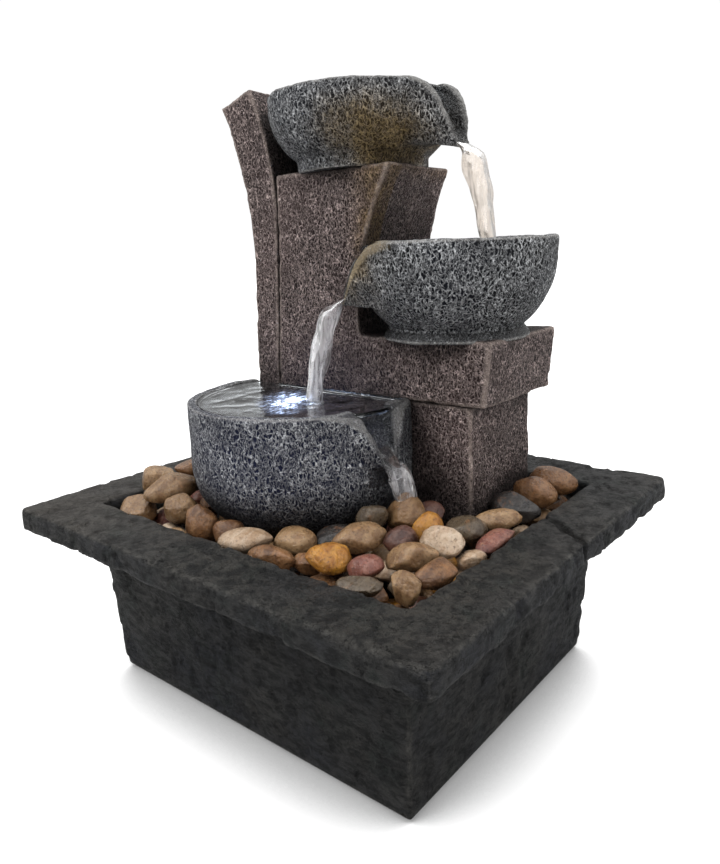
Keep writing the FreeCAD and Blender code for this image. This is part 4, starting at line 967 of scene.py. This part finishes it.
def cad_finishes():
    """Material of every CAD node that shows as it is."""
    black = moulded("moulded_black", rgb(38, 38, 40), 0.45)
    rubber = moulded("black_rubber", rgb(28, 28, 28), 0.75, 0.9 * MM)
    sheath = moulded("cord_sheath", rgb(24, 24, 25), 0.5, 1.2 * MM)
    metal = moulded("plated_metal", rgb(196, 194, 188), 0.2, 0.4 * MM, metallic=1.0, variation=0.08)
    grey = moulded("light_grey_plastic", rgb(62, 63, 66), 0.4)
    finish = {name: black for name in (
        "pebble_deck", "inlet_collar", "pump_case", "pump_rear_cover", "volute_cover", "impeller",
        "strainer_cover", "flow_dial", "switch_base", "switch_cover")}
    finish.update({name: rubber for name in ("rubber_feet", "cord_grommet", "wire_seal",
                                             "suction_cups", "shaft_bushes")})
    finish.update({name: sheath for name in ("light_wire", "power_cord", "plug_grip")})
    finish.update({name: metal for name in ("switch_screws", "rocker_pin", "plug_barrel")})
    finish.update({name: grey for name in ("light_housing", "light_connector")})
    finish.update({
        "riser_tube": moulded("milky_tube", rgb(205, 210, 208), 0.35, variation=0.1),
        "light_board": moulded("white_board", rgb(225, 226, 222), 0.5, variation=0.05),
        "light_chips": glowing("light_chip", (0.62, 0.76, 1.0, 1.0), 6.0),
        "light_lens": clear_water("lens_resin", (0.95, 0.97, 1.0, 1.0)),
        "stator_core": laminated("core_sheets", rgb(150, 150, 155), 0.5 * MM),
        "stator_coil": laminated("copper_winding", rgb(190, 110, 60), 0.35 * MM),
        "rotor_shaft": moulded("ceramic_shaft", rgb(236, 234, 226), 0.25, variation=0.04),
        "rotor_magnet": moulded("ferrite", rgb(70, 70, 74), 0.5, 0.5 * MM),
        "strainer_foam": moulded("filter_foam", rgb(30, 30, 31), 0.9, 1.1 * MM, depth=0.8 * MM),
        "switch_rocker": moulded("rocker_red", rgb(150, 22, 20), 0.22, variation=0.1)})
    return finish


# ---- stage, light and camera ----


def stage():
    """White floor that reaches past every view; it shows brighter than the light it throws back, with a
    painted contact shadow near the fountain.
    """
    half, cells = 9.0, 12
    row = cells + 1
    grid = [(half * (2 * i / cells - 1), half * (2 * j / cells - 1), 0.0)
            for j in range(row) for i in range(row)]
    faces = [(j * row + i, j * row + i + 1, (j + 1) * row + i + 1, (j + 1) * row + i)
             for j in range(cells) for i in range(cells)]
    floor = linked("floor", mesh_from("floor", grid, faces))
    shader = Shader("pale_floor")
    seen = shader.make("LightPath").outputs["Is Camera Ray"]
    # Painted contact shadow: the floor the camera sees glows less where the fountain is near.
    brightness_with_painted_shadow = shader.span(openness(shader, 60 * MM, 16), 0.42, 0.86, 0.12, 0.95)
    shader.put(Base_Color=(0.42, 0.42, 0.42, 1.0), Roughness=0.9, Specular_IOR_Level=0.0,
               Emission_Color=(1.0, 1.0, 1.0, 1.0), Emission_Strength=shader.times(seen, brightness_with_painted_shadow))
    floor.data.materials.append(shader.material)


def sun(name, source, strength, softness):
    """Wide soft light from a direction; it reaches every part of the floor alike."""
    data = bpy.data.lights.new(name, "SUN")
    data.energy, data.angle = strength, math.radians(softness)
    linked(name, data).rotation_euler = Vector(source).to_track_quat("Z", "Y").to_euler()


def studio():
    """White tent, brighter above than round the horizon, and three wide soft lights."""
    world = bpy.data.worlds.new("white_tent")
    world.use_nodes = True
    tree = world.node_tree
    back = tree.nodes["Background"]
    height = tree.nodes.new("ShaderNodeSeparateXYZ")
    tree.links.new(tree.nodes.new("ShaderNodeTexCoord").outputs["Generated"], height.inputs[0])
    spread = tree.nodes.new("ShaderNodeMapRange")
    for end, level in (("From Min", -0.1), ("From Max", 0.8), ("To Min", 0.2), ("To Max", 1.0)):
        spread.inputs[end].default_value = level
    tree.links.new(height.outputs["Z"], spread.inputs["Value"])
    path = tree.nodes.new("ShaderNodeLightPath")
    seen = tree.nodes.new("ShaderNodeMath")
    seen.operation = "MAXIMUM"
    tree.links.new(path.outputs["Is Camera Ray"], seen.inputs[0])
    tree.links.new(path.outputs["Is Transmission Ray"], seen.inputs[1])
    backdrop = 1.02
    strength = tree.nodes.new("ShaderNodeMix")
    tree.links.new(seen.outputs[0], strength.inputs[0])
    tree.links.new(spread.outputs[0], strength.inputs[2])
    strength.inputs[3].default_value = backdrop
    tree.links.new(strength.outputs[0], back.inputs["Strength"])
    back.inputs["Color"].default_value = (1, 1, 1, 1)
    bpy.context.scene.world = world
    sun("key", (-0.45, -0.75, 1.0), 1.35, 35)
    sun("right", (1.1, 0.0, 0.7), 0.7, 60)
    sun("overhead", (-0.1, 0.45, 1.35), 0.9, 70)
    bpy.context.scene.view_settings.view_transform = "Standard"
    bpy.context.scene.view_settings.look = "None"


def camera():
    """Eye level with the middle bowl, looking over the tray's front right corner."""
    back = Vector((math.sin(VIEW_TURN) * math.cos(VIEW_TILT),
                   -math.cos(VIEW_TURN) * math.cos(VIEW_TILT), math.sin(VIEW_TILT)))
    right = Vector((math.cos(VIEW_TURN), math.sin(VIEW_TURN), 0))
    up = back.cross(right)
    rolled_right = right * math.cos(VIEW_ROLL) + up * math.sin(VIEW_ROLL)
    rolled_up = up * math.cos(VIEW_ROLL) - right * math.sin(VIEW_ROLL)
    data = bpy.data.cameras.new("camera")
    data.sensor_width, data.lens = SENSOR_WIDTH, LENS
    data.clip_start = 0.01
    obj = linked("camera", data)
    turned = Matrix((rolled_right, rolled_up, back)).transposed().to_4x4()
    obj.matrix_world = Matrix.Translation(VIEW_PLACE) @ turned
    bpy.context.scene.camera = obj


# ---- build ----


def build_stone():
    """The tower and its bowls in cast stone, and the tray in slate."""
    # Groove and crest colours hold painted shade and painted highlight of the wrinkles as well as the
    # stone's own colour.
    grey = cast_stone("grey_cast_stone", rgb(8, 9, 11), rgb(250, 252, 255), rgb(22, 26, 37),
                      size=1.65 * MM, contrast=1.0, stain=(0.95, 0.68, 0.38, 1.0),
                      painted_lamp_glow=rgb(70, 88, 170))
    brown = cast_stone("brown_cast_stone", rgb(28, 20, 20), rgb(252, 228, 222), rgb(58, 44, 43),
                       size=1.55 * MM, contrast=0.9, stain=(1.0, 0.78, 0.5, 1.0),
                       painted_lamp_glow=rgb(70, 80, 150))
    for node in ("left_slab", "tower_body", "pedestal"):
        stone_piece(node, 0.8 * MM, 3, brown, "brown_stone")
    for bowl in BOWLS:
        stone_piece(bowl.node, 0.6 * MM, 5, grey, "grey_stone")
    dark = slate("riven_slate")
    tray_piece("tray_rim", 0.9 * MM, dark)
    tray_piece("tray_basin", 1.0 * MM, dark)


# Light, dark and vein colour of each kind of stone.
PEBBLE_COLOURS = {
    "tan": (rgb(168, 136, 100), rgb(112, 82, 54), rgb(182, 152, 114)),
    "brown": (rgb(146, 106, 72), rgb(92, 62, 40), rgb(170, 132, 94)),
    "cream": (rgb(206, 184, 160), rgb(160, 130, 100), rgb(218, 202, 182)),
    "ochre": (rgb(196, 138, 56), rgb(140, 88, 34), rgb(204, 156, 84)),
    "rose": (rgb(152, 100, 84), rgb(106, 62, 54), rgb(176, 136, 120)),
    "maroon": (rgb(112, 76, 62), rgb(68, 42, 36), rgb(140, 104, 88)),
    "grey": (rgb(106, 92, 74), rgb(70, 58, 46), rgb(132, 118, 98)),
    "black": (rgb(58, 54, 52), rgb(30, 28, 28), rgb(88, 82, 76)),
}


def build_pebbles():
    """The loose stones, one piece for each colour."""
    for kind, (light, dark, vein) in PEBBLE_COLOURS.items():
        pebble_piece(kind, river_pebble("pebble_" + kind, light, dark, vein))


def build_water():
    """Three pools and their streams; each stream ends on the water or the stones below it."""
    still = clear_water("pool_water", (0.90, 0.95, 0.98, 1.0), sparkle=(0.55, 0.68, 1.0, 1.0))
    warm = clear_water("falling_water_warm", (1.0, 0.93, 0.86, 1.0), streak=(0.22, 0.8))
    falling = clear_water("falling_water", (0.97, 0.96, 0.98, 1.0), streak=(0.08, 0.62))
    top_end = (0.0585, 0.0285, MIDDLE.level)
    middle_end = (-0.0075, -0.0110, BOTTOM.level)
    bottom_end = (0.0430, -0.0085, 0.0885)
    pool("water_top_pool", TOP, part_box("inlet_collar")[1], 0.5 * MM, still)
    pool("water_middle_pool", MIDDLE, top_end, 0.5 * MM, still)
    pool("water_bottom_pool", BOTTOM, middle_end, 0.55 * MM, still)
    top = fall(TOP, top_end, (9, 12.5, 12.5, 10.5, 8.5), (4, 8.5, 8, 7, 6))
    middle = fall(MIDDLE, middle_end, (8, 9.5, 9.5, 8, 7), (5, 8.5, 9.5, 8, 6.5))
    bottom = fall(BOTTOM, bottom_end, (9, 11.5, 11, 10, 9), (4, 8, 8, 7.5, 7))
    stream("water_top_fall", top, warm, TOP.side, 81)
    stream("water_middle_fall", middle, falling, MIDDLE.side, 91)
    stream("water_bottom_fall", bottom, falling, BOTTOM.side, 101)


build_stone()
build_pebbles()
build_water()
dress_nodes(cad_finishes())
stage()
studio()
camera()
